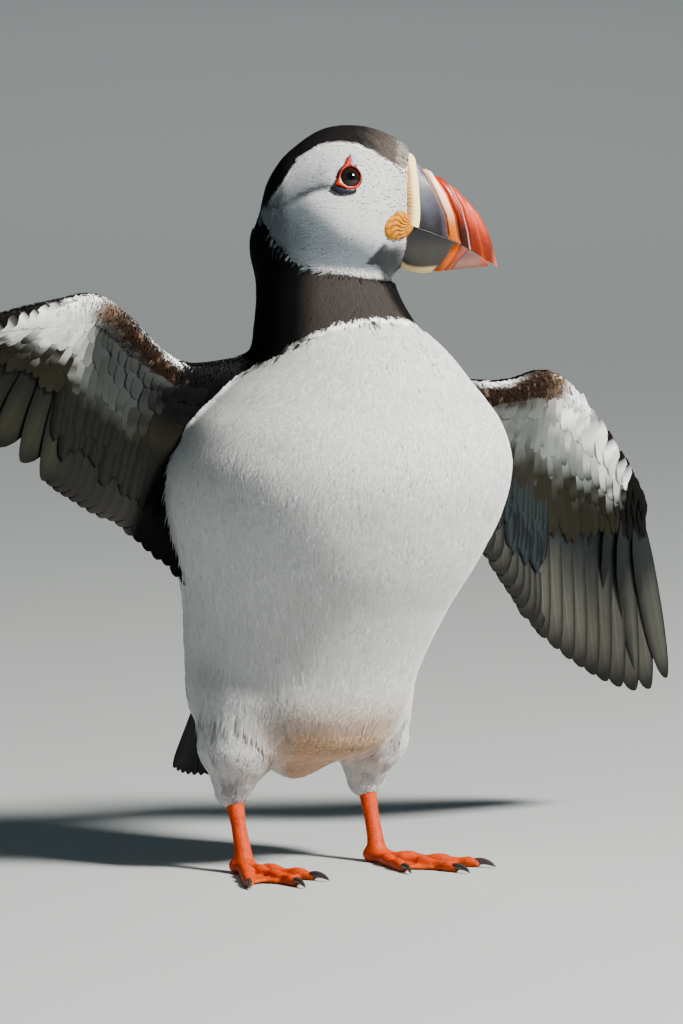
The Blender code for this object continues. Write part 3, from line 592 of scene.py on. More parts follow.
triangles = np.concatenate([skin_quads[:, [0, 1, 2]], skin_quads[:, [0, 2, 3]]])
corner, side_a, side_b = (skin_points[triangles[:, k]] for k in range(3))
side_a, side_b = side_a - corner, side_b - corner
areas = np.linalg.norm(np.cross(side_a, side_b), axis=1) / 2


DRAWS_PER_ROOT = 5  # enough that nearly every small cube of space gets a place
CUBE_TO_SPACING = 1.24  # edge of that cube, as a share of the spacing wanted
LOCK_MIDDLE = 0.38  # where along a lock its second ring lies


def scatter(chosen, spacing, seed):
    """Roots spread evenly over part of the skin: places drawn by area, several for each root, then one kept in each
    small cube of space."""
    draw = np.random.default_rng(seed)
    weight = np.cumsum(areas * chosen[triangles[:, 0]])
    count = int(weight[-1] / spacing**2 * DRAWS_PER_ROOT)
    pick = np.searchsorted(weight, (np.arange(count) + draw.random(count)) / count * weight[-1])
    pick = np.minimum(pick, len(areas) - 1)
    u, v = draw.random((2, count))
    over = u + v > 1
    u, v = np.where(over, 1 - u, u), np.where(over, 1 - v, v)
    points = corner[pick] + u[:, None] * side_a[pick] + v[:, None] * side_b[pick]
    points = points[draw.permutation(count)]
    _, keep = np.unique(np.floor(points / (spacing * CUBE_TO_SPACING)).astype(int), axis=0, return_index=True)
    return points[keep]


def lay(points):
    """The lie of the plumage: away from the bill on the head, and down the neck, trunk and thighs."""
    place = to_head(points)
    swept = unit(place - np.array([0.0, 38.0, 0.0]))
    back = from_head(swept) - np.array(HEAD_CENTRE)
    sink = ease(-place[:, 1], 4, 22)[:, None]
    head = back * (1 - 0.8 * sink) - np.array([0, 0, 0.9]) * sink
    x, height = points[:, 0], points[:, 2]
    inwards = -0.10 * np.sign(x) * ease(-height, -150, -110) * ease(np.abs(x), 5, 30)
    down = np.stack([inwards, 0.22 + 0.33 * ease(-height, -62, -42), np.full(len(x), -1.0)], axis=-1)
    near = on_head(points)[:, None]
    return unit(head * near + down * (1 - near))


def spread_out(a, b):
    """Two measures of a root's place, scaled to the square that its piece is baked in."""
    both = np.stack([a, b], axis=-1)
    low, high = both.min(axis=0), both.max(axis=0)
    return 0.003 + 0.990 * (both - low) / (high - low)


def ring_quads(count):
    """The corners of the faces between one ring of this many points and the next."""
    k = np.arange(count)
    return np.stack([k, (k + 1) % count, count + (k + 1) % count, count + k], axis=-1)


def add_locks(name, roots, way, size, colours, unwrap, finish, seed, swirl=0.08, rough=0.05, crown=0.35,
              droop=1.0):
    """Closed locks: rings of three points at the root and the middle, drawn to a point at the tip.
    size holds length, width and the height that the lock stands over the skin, in millimetres, and droop is the share
    of it that the tip keeps. Each is lit as part of the coat: its normals are the skin's, leaning to either side by its
    crown. swirl and rough are how much the locks' ways and heights vary."""
    draw = np.random.default_rng(seed)
    count = len(roots)
    length, width, height = (np.broadcast_to(np.asarray(one, float), count).copy() for one in size)
    length *= draw.uniform(0.75, 1.2, count)
    width *= draw.uniform(0.8, 1.2, count)
    height *= 1 + rough * (draw.uniform(-1.5, 0.7, count) + ripple(roots, 7.0, seed))
    out = unit(read_grid(SLOPE, roots))
    way = unit(way - out * (way * out).sum(axis=-1, keepdims=True))
    turn = swirl * ripple(roots, 9.0, seed + 1) + draw.normal(0, 0.5 * swirl, count)
    way = way * np.cos(turn)[:, None] + np.cross(out, way) * np.sin(turn)[:, None]
    middle = lift(roots + way * (LOCK_MIDDLE * length)[:, None], 0.95 * height)
    tip = lift(roots + way * length[:, None], droop * height)
    out_middle, out_tip = unit(read_grid(SLOPE, middle)), unit(read_grid(SLOPE, tip))
    rings, normals = [], []
    for centre, normal, share, thick in ((roots - 0.35 * out, out, 0.34, 0.1), (middle, out_middle, 0.5, 0.12)):
        across = unit(np.cross(normal, way))
        half, rise = (share * width)[:, None] * across, (thick * width)[:, None] * normal
        rings += [centre + half, centre + rise, centre - half]
        normals += [unit(normal + crown * across), normal, unit(normal - crown * across)]
    points = np.stack(rings + [tip], axis=1)
    normals = np.stack(normals + [unit(out_tip + 0.5 * crown * way)], axis=1)
    first = 7 * np.arange(count)[:, None, None]
    quads = (first + ring_quads(3)).reshape(-1, 4)
    threes = (first + np.array([(3, 4, 6), (4, 5, 6), (5, 3, 6), (2, 1, 0)])).reshape(-1, 3)
    tone = 1 + 0.07 * draw.normal(size=(count, 1, 1))
    along = np.repeat([0, LOCK_MIDDLE, 1.0], [3, 3, 1])
    aside = np.array([0.5, 0, -0.5, 0.5, 0, -0.5, 0])
    paint = np.clip(colours[:, None] * tone * (0.86 + 0.14 * along)[:, None], 0, 1)
    # A place on the feather for each point: across it, with a step from lock to lock, and along it.
    tubes = np.empty((count, 7, 3))
    tubes[:, :, 0] = aside * width[:, None] + 3.7 * np.arange(count)[:, None]
    tubes[:, :, 1] = along * length[:, None]
    tubes[:, :, 2] = along
    patch = (unwrap[:, None] + 0.003 * np.stack([aside + 0.5, along], axis=-1)).reshape(-1, 2)
    bake = np.concatenate([patch[quads.reshape(-1)], patch[threes.reshape(-1)]])
    return solid(name, points, [quads, threes], finish, paint, tubes, bake, normals=normals)


def feather_material(name, roughness, streak, barb, relief_depth, shaft=None, **sockets):
    """Keratin barbs lie side by side, so the surface is streaked along each feather and matt, and a stiff feather's
    shaft shows as a thin paler line. barb holds the size, stretch, detail and roughness of the noise that makes the
    streaks. They are drawn 0.3 to 0.4 mm wide, as the real 0.05 mm ones are too fine to show."""
    made, tree, shader = new_material(name, roughness, IOR=1.54, **sockets)
    size, stretch, detail, rough = barb
    place = add_node(tree, "ShaderNodeAttribute", attribute_name="vane")
    drawn = add_node(tree, "ShaderNodeMapping", [("Vector", place, "Vector")], Scale=(1.0, stretch, 0.0))
    barbs = add_node(tree, "ShaderNodeTexNoise", [("Vector", drawn, "Vector")], Scale=size, Detail=detail,
                     Roughness=rough)
    tone = add_node(tree, "ShaderNodeMapRange", [("Value", barbs, "Fac")], From_Min=0.3, From_Max=0.7,
                    To_Min=1 - streak, To_Max=1.0)
    output = "Result"
    if shaft:
        split = add_node(tree, "ShaderNodeSeparateXYZ", [("Vector", place, "Vector")])
        line = add_node(tree, "ShaderNodeMapRange", [("Value", split, "Z")], From_Min=0.03, From_Max=0.09,
                        To_Min=shaft, To_Max=1.0)
        tone = add_node(tree, "ShaderNodeMath", [(0, tone, output), (1, line, output)], operation="MULTIPLY")
        output = "Value"
    colour = add_node(tree, "ShaderNodeAttribute", attribute_name="plumage")
    streaked = add_node(tree, "ShaderNodeVectorMath", [(0, colour, "Color"), (1, tone, output)], operation="MULTIPLY")
    relief = add_node(tree, "ShaderNodeBump", [("Height", barbs, "Fac")], Strength=0.5, Distance=relief_depth)
    set_node(tree, shader, [("Base Color", streaked, "Vector"), ("Normal", relief, "Normal")])
    return made


# White feathers let light through and have a soft bloom. Those of the face are finer, and black ones have no bloom.
SOFT_BARB = (3.2, 0.12, 2.0, 0.6)
BLOOM = dict(Specular_IOR_Level=0.2, Sheen_Weight=0.1, Sheen_Roughness=0.5, Subsurface_Scale=0.003,
             Subsurface_Radius=(1.0, 0.9, 0.8))
white_feather = feather_material("white_contour_feather", 0.8, 0.06, SOFT_BARB, 0.00006, Subsurface_Weight=0.6, **BLOOM)
black_feather = feather_material("black_contour_feather", 0.7, 0.35, SOFT_BARB, 0.00012, Specular_IOR_Level=0.03)
face_feather = feather_material("short_face_feather", 0.85, 0.06, (4.5, *SOFT_BARB[1:]), 0.00003,
                                Subsurface_Weight=0.5, **BLOOM)

# The tracts meet along the edges of the markings.
_, along, up = to_head(skin_points).T
turn, height = np.abs(round_body(skin_points)), skin_points[:, 2]
above_cap = up > read_line(CAP_EDGE, along)
under_face = up < read_line(COLLAR_EDGE, along)
nape = along < -23.5
is_head = (on_head(skin_points) > 0.5) & (along <= 25.4) & ~on_wing
is_face = is_head & ~above_cap & ~under_face & ~nape
is_cap = is_head & (above_cap | nape)
on_body = ~is_head & ~on_wing
dark_body = on_body & ((height > read_line(BREAST_TOP, turn)) | (turn > read_line(WHITE_REACH, height)))
is_collar = (dark_body & (height > 162)) | (is_head & under_face & ~nape)
on_thigh = (limb > 1.0) & (height < 56)
is_white = on_body & ~dark_body & ~on_thigh
flank = on_body & ~dark_body & (turn > 103) & (np.abs(height - 126) < 20)
TRACTS = [
    # name, part of the skin, spacing, length, width, height, finish, slot
    ("plumage_face", is_face, 0.46, 3.2, 0.74, 0.85, face_feather, "face_plumage"),
    ("plumage_cap", is_cap, 0.52, 4.2, 0.8, 0.9, black_feather, "black_plumage"),
    ("plumage_collar", is_collar, 0.62, 5.5, 1.0, 1.4, black_feather, "black_plumage"),
    ("plumage_breast", is_white & (height > 108), 0.86, 9.0, 1.5, 2.0, white_feather, "white_plumage"),
    ("plumage_belly", is_white & (height <= 108), 0.92, 10.5, 1.7, 2.0, white_feather, "white_plumage"),
    ("plumage_back", dark_body & (height <= 162), 1.0, 11.0, 2.3, 2.0, black_feather, "black_plumage"),
    ("plumage_thighs", on_thigh & ~dark_body, 0.75, 6.5, 1.2, 1.5, white_feather, "white_plumage"),
]
EYE = (5.5, 9.2)  # its place on the side of the head: along, up
for seed, (name, chosen, spacing, length, width, height, finish, slot) in enumerate(TRACTS, 10):
    roots = scatter(chosen, spacing, seed)
    aside, along, up = to_head(roots).T
    short = name in ("plumage_face", "plumage_cap")
    if name == "plumage_face":
        # The eye is left bare. Locks are shortest round it, at the bill, at the hem and in the crease behind it.
        eye_gap = np.hypot(along - EYE[0], up - EYE[1])
        roots, aside, along, up, eye_gap = (a[eye_gap > 3.9] for a in (roots, aside, along, up, eye_gap))
        small = 0.45 + 0.55 * ease(eye_gap, 4, 14) * ease(26 - along, 0, 12)
        hem = 0.28 + 0.72 * ease(up - read_line(COLLAR_EDGE, along), 1.2, 7.0)
        length, width = length * small * hem, width * (0.65 + 0.35 * hem)
        height = height * small * (0.5 + 0.5 * hem)
        height = height * (1 - 0.75 * hump(line_distance(along, up, CREASE), 1.2) * ease(-along, -6, 0))
    if short:
        unwrap = spread_out(np.arctan2(aside, along), up)
    elif name == "plumage_thighs":
        round_thigh = np.arctan2(roots[:, 1] - 1, np.abs(roots[:, 0]) - 26)
        unwrap = spread_out(round_thigh + 7 * (roots[:, 0] > 0), roots[:, 2])
    else:
        unwrap = spread_out(round_body(roots), roots[:, 2])
    # Collar feathers at the hem are as dark as those below them, so the white face ends in a clean line.
    coloured = roots + 1.4 * lay(roots) * (name == "plumage_collar")
    add_locks(name, roots, lay(roots), (length, width, height), markings(coloured), unwrap, finish, seed,
              rough=0.02 if finish is face_feather else 0.035, crown=0.16 if finish is white_feather else 0.3,
              droop=0.82 if short else 0.94)

# Flank feathers: longer pointed locks at the sides of the breast, which part a little from the coat at their ends.
roots = scatter(flank, 2.6, 31)
loose = np.clip(ease(np.abs(round_body(roots)), 100, 120) * (0.5 + 0.5 * ripple(roots, 11.0, 32)), 0, 1)
add_locks("plumage_flanks", roots, lay(roots), (8 + 5 * loose, 2.4, 1.9), markings(roots),
          spread_out(round_body(roots), roots[:, 2]), white_feather, 31, swirl=0.18, rough=0.03,
          droop=1.05 + 2.2 * loose)

# ---------------------------------------------------------------- wing and tail feathers
# Flight feathers are stiff flat vanes on a central shaft, rooted in the hand and forearm. Rows of coverts roof their
# bases, above and below, each row lying over the next one back. Each vane is a closed, slightly cambered blade.

# The eight points round a vane, over the top and back beneath: their places across it, and through its thickness.
RING = np.array([1.0, 0.5, 0.0, -0.5, -1.0, -0.5, 0.0, 0.5])
FACE = np.array([0.0, 0.8, 1.0, 0.8, 0.0, -0.8, -1.0, -0.8])


def wing_depth(s, t):
    """Half the wing's thickness with its coverts: a rounded leading edge thinning to the flight feathers."""
    u = np.clip(t / np.maximum(read_line(COVERT_EDGE, s), 0.05), 0, 1)
    full = 9.0 - 3.5 * np.clip(s - 1, 0, 1) - 2.0 * np.clip((s - 3) / 2, 0, 1)
    nose = np.clip(u / 0.2, 0, 1)
    rounded = np.sqrt(nose * (2 - nose))
    return ((full * (1 - u) ** 1.2 + 1.9 * u**0.7) * rounded + 0.7 * (1 - rounded)) / 2


def vane_outline(v, base, blunt):
    """Share of the full width along a vane: it widens over its base and ends in a quarter ellipse."""
    blunt = np.asarray(blunt, float)[..., None]
    tip = np.clip((v - blunt) / (1 - blunt), 0, 1)
    return (base + (1 - base) * ease(v, 0, 0.3)) * np.sqrt(np.maximum(1 - tip**2, 0.006))


def add_vanes(name, spine, normal, outer, half, thick, colours, finish, lead=0.5, tilt=0.0, base=0.4, blunt=0.7,
              puff=0.15, nodes=()):
    """Closed vanes along their spines, (feather, row, 3), with eight points round each row.
    outer points to each feather's leading side, which has the lead's share of its full width, and is tilted up."""
    count, rows = spine.shape[:2]
    v, k = VANE_ROWS[rows], np.arange(8)
    way = unit(np.gradient(spine, axis=1))
    normal = unit(normal - way * (normal * way).sum(axis=-1, keepdims=True))
    across = np.cross(normal, way)
    side = np.sign((across * outer).sum(axis=-1).mean(axis=1))[:, None, None]
    sin, cos = np.sin(side * tilt), np.cos(side * tilt)
    across, normal = across * cos + normal * sin, normal * cos - across * sin
    width = (2 * np.broadcast_to(half, (count,))[:, None] * vane_outline(v, base, blunt))[..., None]
    reach = width * np.where(RING * side > 0, lead, 1 - lead) * RING
    shaft = 1 + 0.9 * (np.abs(RING) < 0.1) * np.clip(1 - v, 0, 1)[:, None]
    depth = thick * FACE * shaft * (0.55 + 0.45 * (1 - v[:, None] ** 2)) - 0.03 * width * RING**2
    points = spine[:, :, None] + across[:, :, None] * reach[..., None] + normal[:, :, None] * depth[..., None]
    start = 8 * rows * np.arange(count)[:, None]
    quads = start[..., None, None] + 8 * np.arange(rows - 1)[:, None, None] + ring_quads(8)
    caps = np.concatenate([start + k[::-1], start + 8 * (rows - 1) + k])
    # A place on the vane for each point: along its barbs, across them and out from the shaft.
    tubes = np.empty((count, rows, 8, 3))
    length = np.linalg.norm(spine[:, -1] - spine[:, 0], axis=-1)[:, None, None]
    tubes[..., 0] = length * v[:, None] - 1.1 * np.abs(reach)
    tubes[..., 1] = 2.2 * reach + 31.0 * np.arange(count)[:, None, None]
    tubes[..., 2] = np.abs(RING)
    # The upper and under faces are lit apart, each as if a little puffed, and the ends face along the vane.
    round_off = puff * RING[:, None] * across[:, :, None]
    top, under = unit(normal[:, :, None] + round_off), unit(round_off - normal[:, :, None])
    normals = np.empty((count, rows - 1, 8, 4, 3))
    for place, (row, step) in enumerate(((0, 0), (0, 1), (1, 1), (1, 0))):
        up_there, under_there = (np.roll(a[:, row : rows - 1 + row], -step, axis=2) for a in (top, under))
        normals[:, :, :, place] = np.where((k < 4)[:, None], up_there, under_there)
    ends = [np.repeat(sign * way[:, row], 8, axis=0) for sign, row in ((-1, 0), (1, rows - 1))]
    normals = np.concatenate([normals.reshape(-1, 3), *ends])
    # Each vane is laid out in its own square.
    cells = math.ceil(math.sqrt(count))
    cell = np.stack([np.arange(count) % cells, np.arange(count) // cells], axis=-1) / cells
    turn = np.zeros((rows - 1, 8, 4, 2))
    turn[..., 0] = np.stack([k, k + 1, k + 1, k], axis=-1) / 8.0
    turn[..., 1] = np.stack([v[:-1], v[:-1], v[1:], v[1:]], axis=-1)[:, None]
    bake = [cell[:, None, None, None] + (0.04 + 0.92 * turn) / cells]
    for end in (0.02, 0.98):
        flat = np.stack([0.5 + 0.1 * RING, np.full(8, end)], axis=-1)
        bake.append(cell[:, None] + (0.04 + 0.92 * flat) / cells)
    bake = np.concatenate([one.reshape(-1, 2) for one in bake])
    return solid(name, points, [quads.reshape(-1, 4), caps], finish, colours, tubes, bake, nodes, normals)


# Where along a vane its rows of points lie, for long and for short vanes.
VANE_ROWS = {
    12: np.array([0, 0.08, 0.2, 0.34, 0.48, 0.62, 0.74, 0.84, 0.91, 0.96, 0.988, 1.0]),
    7: np.array([0, 0.2, 0.45, 0.68, 0.84, 0.95, 1.0]),
}


def quill_colour(v, grain, tipped):
    """A flight feather: dusky blue-grey at its base below, paler and browner to its end, black-brown above."""
    below = mix("#0c1012", "#30302b", ease(v + 0.05 * grain, 0.5, 0.72) * tipped)
    below = mix(below, QUILL_DARK, 0.95 * ease(v, 0.85, 0.98))
    below = mix(below, QUILL_DARK, 0.8 * ease(np.abs(RING), 0.45, 1.0) * (1 - 0.4 * tipped))
    return mix(below, ABOVE, FACE > -0.1)


# Flight feathers are stiff and faintly glossy, with a pale shaft. Coverts are matt, and those of the wing's edge soft.
VANE_BARB = (1.6, 0.08, 3.0, 0.65)
quill_finish = feather_material("flight_feather", 0.55, 0.22, VANE_BARB, 0.0001, 1.35, Specular_IOR_Level=0.12)
covert_finish = feather_material("wing_covert", 0.8, 0.12, VANE_BARB, 0.0001, 1.05, Specular_IOR_Level=0.06)
margin_feather = feather_material("marginal_covert", 0.75, 0.12, SOFT_BARB, 0.00006, Specular_IOR_Level=0.05)
PRIMARIES, SECONDARIES = 10, 16
COVERTS = [
    # tract, from s to s, count, root t, tip t, lean in s, half width, height
    ("greater_2", 0.05, 2.3, 26, 0.34, 0.80, 0.03, 2.6, 0.10),
    ("greater", 0.05, 2.15, 24, 0.28, 0.66, 0.04, 2.9, 0.22),
    ("hand_4", 2.15, 4.3, 15, 0.24, 0.60, 0.40, 3.3, 0.16),
    ("median", 0.10, 2.15, 20, 0.20, 0.50, 0.05, 3.7, 0.34),
    ("hand_3", 2.05, 4.6, 15, 0.16, 0.44, 0.36, 3.6, 0.34),
    ("lesser_3", 0.15, 2.10, 20, 0.13, 0.35, 0.04, 3.6, 0.46),
    ("hand_2", 2.05, 4.5, 15, 0.09, 0.33, 0.30, 3.6, 0.50),
    ("lesser_2", 0.15, 2.05, 24, 0.07, 0.23, 0.03, 3.1, 0.58),
    ("hand_1", 2.05, 4.55, 17, 0.03, 0.21, 0.22, 3.0, 0.64),
]


def blades(pairs, s0, t0, s1, t1, rows, height):
    """Spines straight from (s0, t0) to (s1, t1) on a wing, at the heights that height gives along them."""
    s0, t0, s1, t1 = (one[:, None] for one in np.broadcast_arrays(s0, t0, s1, t1))
    v = VANE_ROWS[rows]
    s, t = s0 + (s1 - s0) * v, t0 + (t1 - t0) * v
    high = height(s, t, v)
    spine, dorsal = wing_place(pairs, np.clip(s, 0, 7), t, high)
    beyond, _ = wing_place(pairs, np.clip(s, 0, 6.9) + 0.1, t, high)
    before, _ = wing_place(pairs, np.clip(s, 0.1, 7) - 0.1, t, high)
    return s, t, v, spine, dorsal, beyond - before


for wing, pairs in WINGS.items():
    left = wing == "left"
    draw = np.random.default_rng(40 + left)

    # Ten primaries fan from the hand. The outermost runs along the leading edge to the wing's point.
    i = np.arange(PRIMARIES)
    v = VANE_ROWS[12]
    s0, t0 = 2.15 + 0.27 * i, 0.25 - 0.022 * i
    s1, t1 = 2.45 + 0.49 * i, np.where(i < PRIMARIES - 1, 1.0, 0.72)
    root, back = wing_place(pairs, s0, t0, 0 * s0)
    end, _ = wing_place(pairs, s1, t1, 0 * s1)
    ahead, _ = wing_place(pairs, s1 - 0.1, t1, 0 * s1)
    outer, back = unit(end - ahead)[:, None], back[:, None]
    bow = np.interp(i, [0, 5, 7, 8, 9], [-1.0, 0.0, 1.2, 2.2, 4.2])[:, None, None]
    arch = np.sin(math.pi * v)[:, None] * (bow * outer + 2.5 * back)
    spine = root[:, None] + (end - root)[:, None] * v[:, None] + arch
    half = np.interp(i, [0, 4, 7, 8, 9], [7.6, 7.6, 7.8, 7.6, 5.6])
    grain = ripple(spine, 9.0, 5)[:, :, None] + draw.normal(0, 0.3, (PRIMARIES, 1, 1))
    grain = grain + np.interp(i, [5, 9], [0, 4])[:, None, None]
    bright = np.interp(i, [0, 3, 5, 7, 9], [1.4, 1.35, 1.15, 1.3, 1.2])[:, None, None, None]
    # On the right wing the quills are painted darker and olive, with duller ends and darker edges: painted shade on
    # that wing.
    wing_shade = np.array([1.0, 1.0, 1.0] if left else [0.55, 0.54, 0.34])
    colours = quill_colour(v[:, None], grain, 1.0 if left else 0.3) * wing_shade * bright
    add_vanes(f"wing_{wing}_primaries_vanes", spine, back, outer, half, 0.3, colours, quill_finish,
              lead=0.3, tilt=0.02, base=0.4, blunt=0.5, nodes=[f"wing_{wing}_primaries"])

    # Sixteen secondaries hang from the forearm, blunt and closely overlapped. The innermost are the darkest.
    s0 = np.linspace(0.08, 2.2, SECONDARIES)
    tips = 1.0 - 0.02 * draw.random(SECONDARIES)
    _, _, v, spine, dorsal, outer = blades(pairs, s0, 0.3, s0 + 0.06, tips, 12, lambda s, t, v: 0.0 * s)
    grain = ripple(spine, 9.0, 6)[:, :, None] + draw.normal(0, 0.3, (SECONDARIES, 1, 1))
    # On the right wing they are painted darker, olive and with duller ends: painted shade on that wing.
    bright = np.interp(s0, [0, 0.9, 1.3], [0.6, 0.85, 1.3] if left else [0.55, 0.65, 0.9])[:, None, None, None]
    wing_shade = np.array([1.0, 1.0, 1.0] if left else [0.55, 0.55, 0.45])
    colours = quill_colour(v[:, None], grain, 0.7 if left else 0.3) * wing_shade * bright
    add_vanes(f"wing_{wing}_secondaries_vanes", spine, dorsal, outer, 5.2, 0.3, colours, quill_finish,
              lead=0.36, tilt=0.06, base=0.45, blunt=0.86, nodes=[f"wing_{wing}_secondaries"])

    # Coverts roof the quills' bases, in rows, below (side -1) and above (side 1).
    for side, face in ((-1, "under"), (1, "upper")):
        tracts = []
        for k, (tract, first, last, count, root, tip, lean, half, high) in enumerate(COVERTS):
            if side > 0 and tract in ("hand_1", "lesser_2"):
                continue
            s0 = np.linspace(first, last, count) + draw.normal(0, 0.018, count)
            t0 = root + draw.normal(0, 0.006, count)
            reach = (tip - root) * draw.uniform(0.85, 1.12, count)
            scale = np.where(s0 > 2.1, np.clip(read_line(COVERT_EDGE, s0) / 0.6, 0.25, 1), 1.0)

            def roof(s, t, v):
                """Half the wing's depth, less at the roots, with the row's own height and a rise to the tips."""
                return side * (wing_depth(np.clip(s, 0, 7), t) * (0.45 + 0.55 * ease(v, 0, 0.4)) + high + 0.25 * v)

            ends = t0 * scale, s0 + lean, (t0 + reach) * scale
            s, t, v, spine, dorsal, outer = blades(pairs, s0, *ends, 7, roof)
            grain = ripple(spine, 3.2, 7 + k)[:, :, None] + draw.normal(0, 0.25, (count, 1, 1))
            greater = tract.startswith("greater")
            if side < 0:
                tone = under_colour(s[..., None] + 0 * RING, t[..., None] + 0 * RING, grain + 0 * RING, wing)
                tone = tone * (0.9 + 0.12 * ease(v, 0.2, 1.0))[:, None, None]
                tone = tone * draw.uniform(0.8, 1.05, (count, 1, 1, 1))
            else:
                tone = ABOVE * (1 + 0.25 * grain[..., None]) * np.ones((8, 1))
            # Greater coverts are striped below. The right wing's stripes are painted darker, as shade.
            if side < 0 and greater:
                middle = ease(-np.abs(RING), -0.75, -0.15) * ease(s0, 0.7, 1.1)[:, None, None]
                stripe = mix("#060707", "#20272a" if left else "#131514", middle)
                tone = mix(tone, stripe, (0.97 if tract == "greater_2" else 0.85) * ease(t, 0.42, 0.55)[..., None])
            half = half * np.interp(s0, [3.0, 4.6], [1.0, 0.5])
            blunt = np.full(count, 0.8 if greater else 0.5)
            tracts.append((spine, side * dorsal, outer, half, np.clip(tone, 0, 1), blunt))
        spine, dorsal, outer, half, colours, blunt = (np.concatenate(column) for column in zip(*tracts))
        add_vanes(f"wing_{wing}_{face}_coverts", spine, dorsal, outer, half, 0.2, colours, covert_finish,
                  tilt=-0.05 * side, base=0.5, blunt=blunt, puff=0.25)

    # Marginal coverts: small soft locks over the bend of the wing and along its leading edge.
    roots = scatter(on_wing & (skin_points[:, 0] * (1 if left else -1) > 0), 0.66, 60 + left)
    s, t, chord, outwards, _ = along_wing(roots, pairs)
    kept = ((t < 0.12 - 0.08 * ease(s, 2.6, 3.1)) | (s < 0.6)) & (s < 4.7)
    roots, s, t, chord, outwards = (one[kept] for one in (roots, s, t, chord, outwards))
    tone, above = wing_markings(roots, wing)
    length = np.interp(s, [0, 1, 2, 5], [6.5, 3.4, 3.0, 2.6]) * (0.55 + 0.45 * ease(np.abs(t), 0.02, 0.07))
    size = length, 0.95, np.minimum(0.8, 0.25 * length)
    add_locks(f"wing_{wing}_margin", roots, unit(chord) + 0.35 * unit(outwards), size, tone,
              spread_out(s + 6 * above, t), margin_feather, 70)

# Twelve stiff black tail feathers in a short fan, dropping steeply behind the legs.
TAIL_BASE, TAIL_LENGTH, TAIL_DROP, TAIL_FAN = (0.0, 40.0, 73.0), 52.0, math.radians(70.0), math.radians(11.0)
spread = np.linspace(-1, 1, 12)[:, None]
v = VANE_ROWS[12]
length = TAIL_LENGTH * (1 - 0.1 * spread**2) * v
rise = 3.0 * (1 - spread**2) + 1.2 * (1 - np.abs(spread)) * (1 - v)
sin, cos = math.sin(TAIL_DROP), math.cos(TAIL_DROP)
aside = spread * (6.4 + length * math.tan(TAIL_FAN))
spine = np.stack([aside, TAIL_BASE[1] + length * cos + rise * sin, TAIL_BASE[2] - length * sin + rise * cos], axis=-1)
normal = np.array([0.0, sin, cos]) + 0.12 * spread[..., None] * np.array([1.0, 0, 0])
outer = np.array([1.0, 0.0, 0.0]) * np.sign(spread + 0.01)[..., None]
colours = ABOVE * (1 + 0.2 * ripple(spine, 6.0, 9))[:, :, None, None] * np.ones((8, 1))
add_vanes("tail_vanes", spine, normal, outer, 3.6, 0.5, colours, quill_finish,
          lead=0.42, tilt=-0.18, base=0.6, blunt=0.85, nodes=["tail"])

# ---------------------------------------------------------------- bill
# The bill is bone sheathed in horn. In summer coloured horny plates grow over it: a slate base, a raised cream ridge,
# then orange-red with a pale groove. The upper mandible closes over the lower along a hooked gape.

# Profile in the head's frame: along, culmen, line of the gape, underside, half width.
BILL = [
    (25.0, 15.4, -7.1, -20.6, 7.6), (25.6, 15.1, -7.3, -21.2, 7.5), (30.0, 11.1, -8.7, -23.4, 6.7),
    (34.0, 9.0, -10.2, -23.1, 5.8), (38.0, 6.5, -11.9, -22.7, 5.1), (42.0, 3.1, -13.8, -22.3, 4.3),
    (46.0, -1.3, -16.0, -21.9, 3.4), (49.1, -5.6, -18.0, -21.5, 2.7), (51.5, -10.6, -19.6, -21.2, 2.0),
    (53.3, -16.4, -20.8, -21.1, 1.3), (54.3, -20.6, -21.8, -21.9, 0.7),
]
# Edges of the plates: up, along.
RIDGE_BACK = [(-13, 38.3), (-9.6, 37.9), (-4.2, 37.1), (2.8, 34.1), (9.5, 30.7), (12.5, 28.9), (16, 27.2)]
RIDGE_FRONT = [(-13, 41.4), (-10.6, 41.0), (-4.2, 40.0), (2.8, 37.2), (9.5, 33.0), (12.5, 30.6), (16, 28.4)]
PALE_GROOVE = [(-15, 45.3), (-9.4, 44.5), (-1.4, 42.5), (6.1, 38.5), (12, 34.5)]
FAINT_GROOVE = [(-16, 49.6), (-5.9, 47.4), (2.1, 42.9), (9, 38.2)]
LOWER_BACK = [(-24, 32.8), (-22, 34.3), (-20.8, 35.4), (-19, 36.8), (-15.2, 39.2), (-12, 40.8), (-9, 41.4)]
LOWER_MID = [(-24, 35.8), (-22, 37.3), (-20.8, 38.2), (-19, 39.4), (-15.2, 41.6), (-12, 43.2), (-9, 43.8)]
LOWER_FRONT = [(-24, 38.0), (-20.9, 39.9), (-19, 41.5), (-15.3, 44.8), (-12, 46.6), (-9, 47.4)]


def past(edge, along, up):
    """Roughly how many mm ahead of a plate's edge a place on the bill lies."""
    return 0.9 * (along - read_line(edge, up))


def band(x, start, end, soft=0.15):
    """1 between start and end, fading over soft on either side."""
    return ease(x, start - soft, start + soft) * ease(-x, -end - soft, -end + soft)


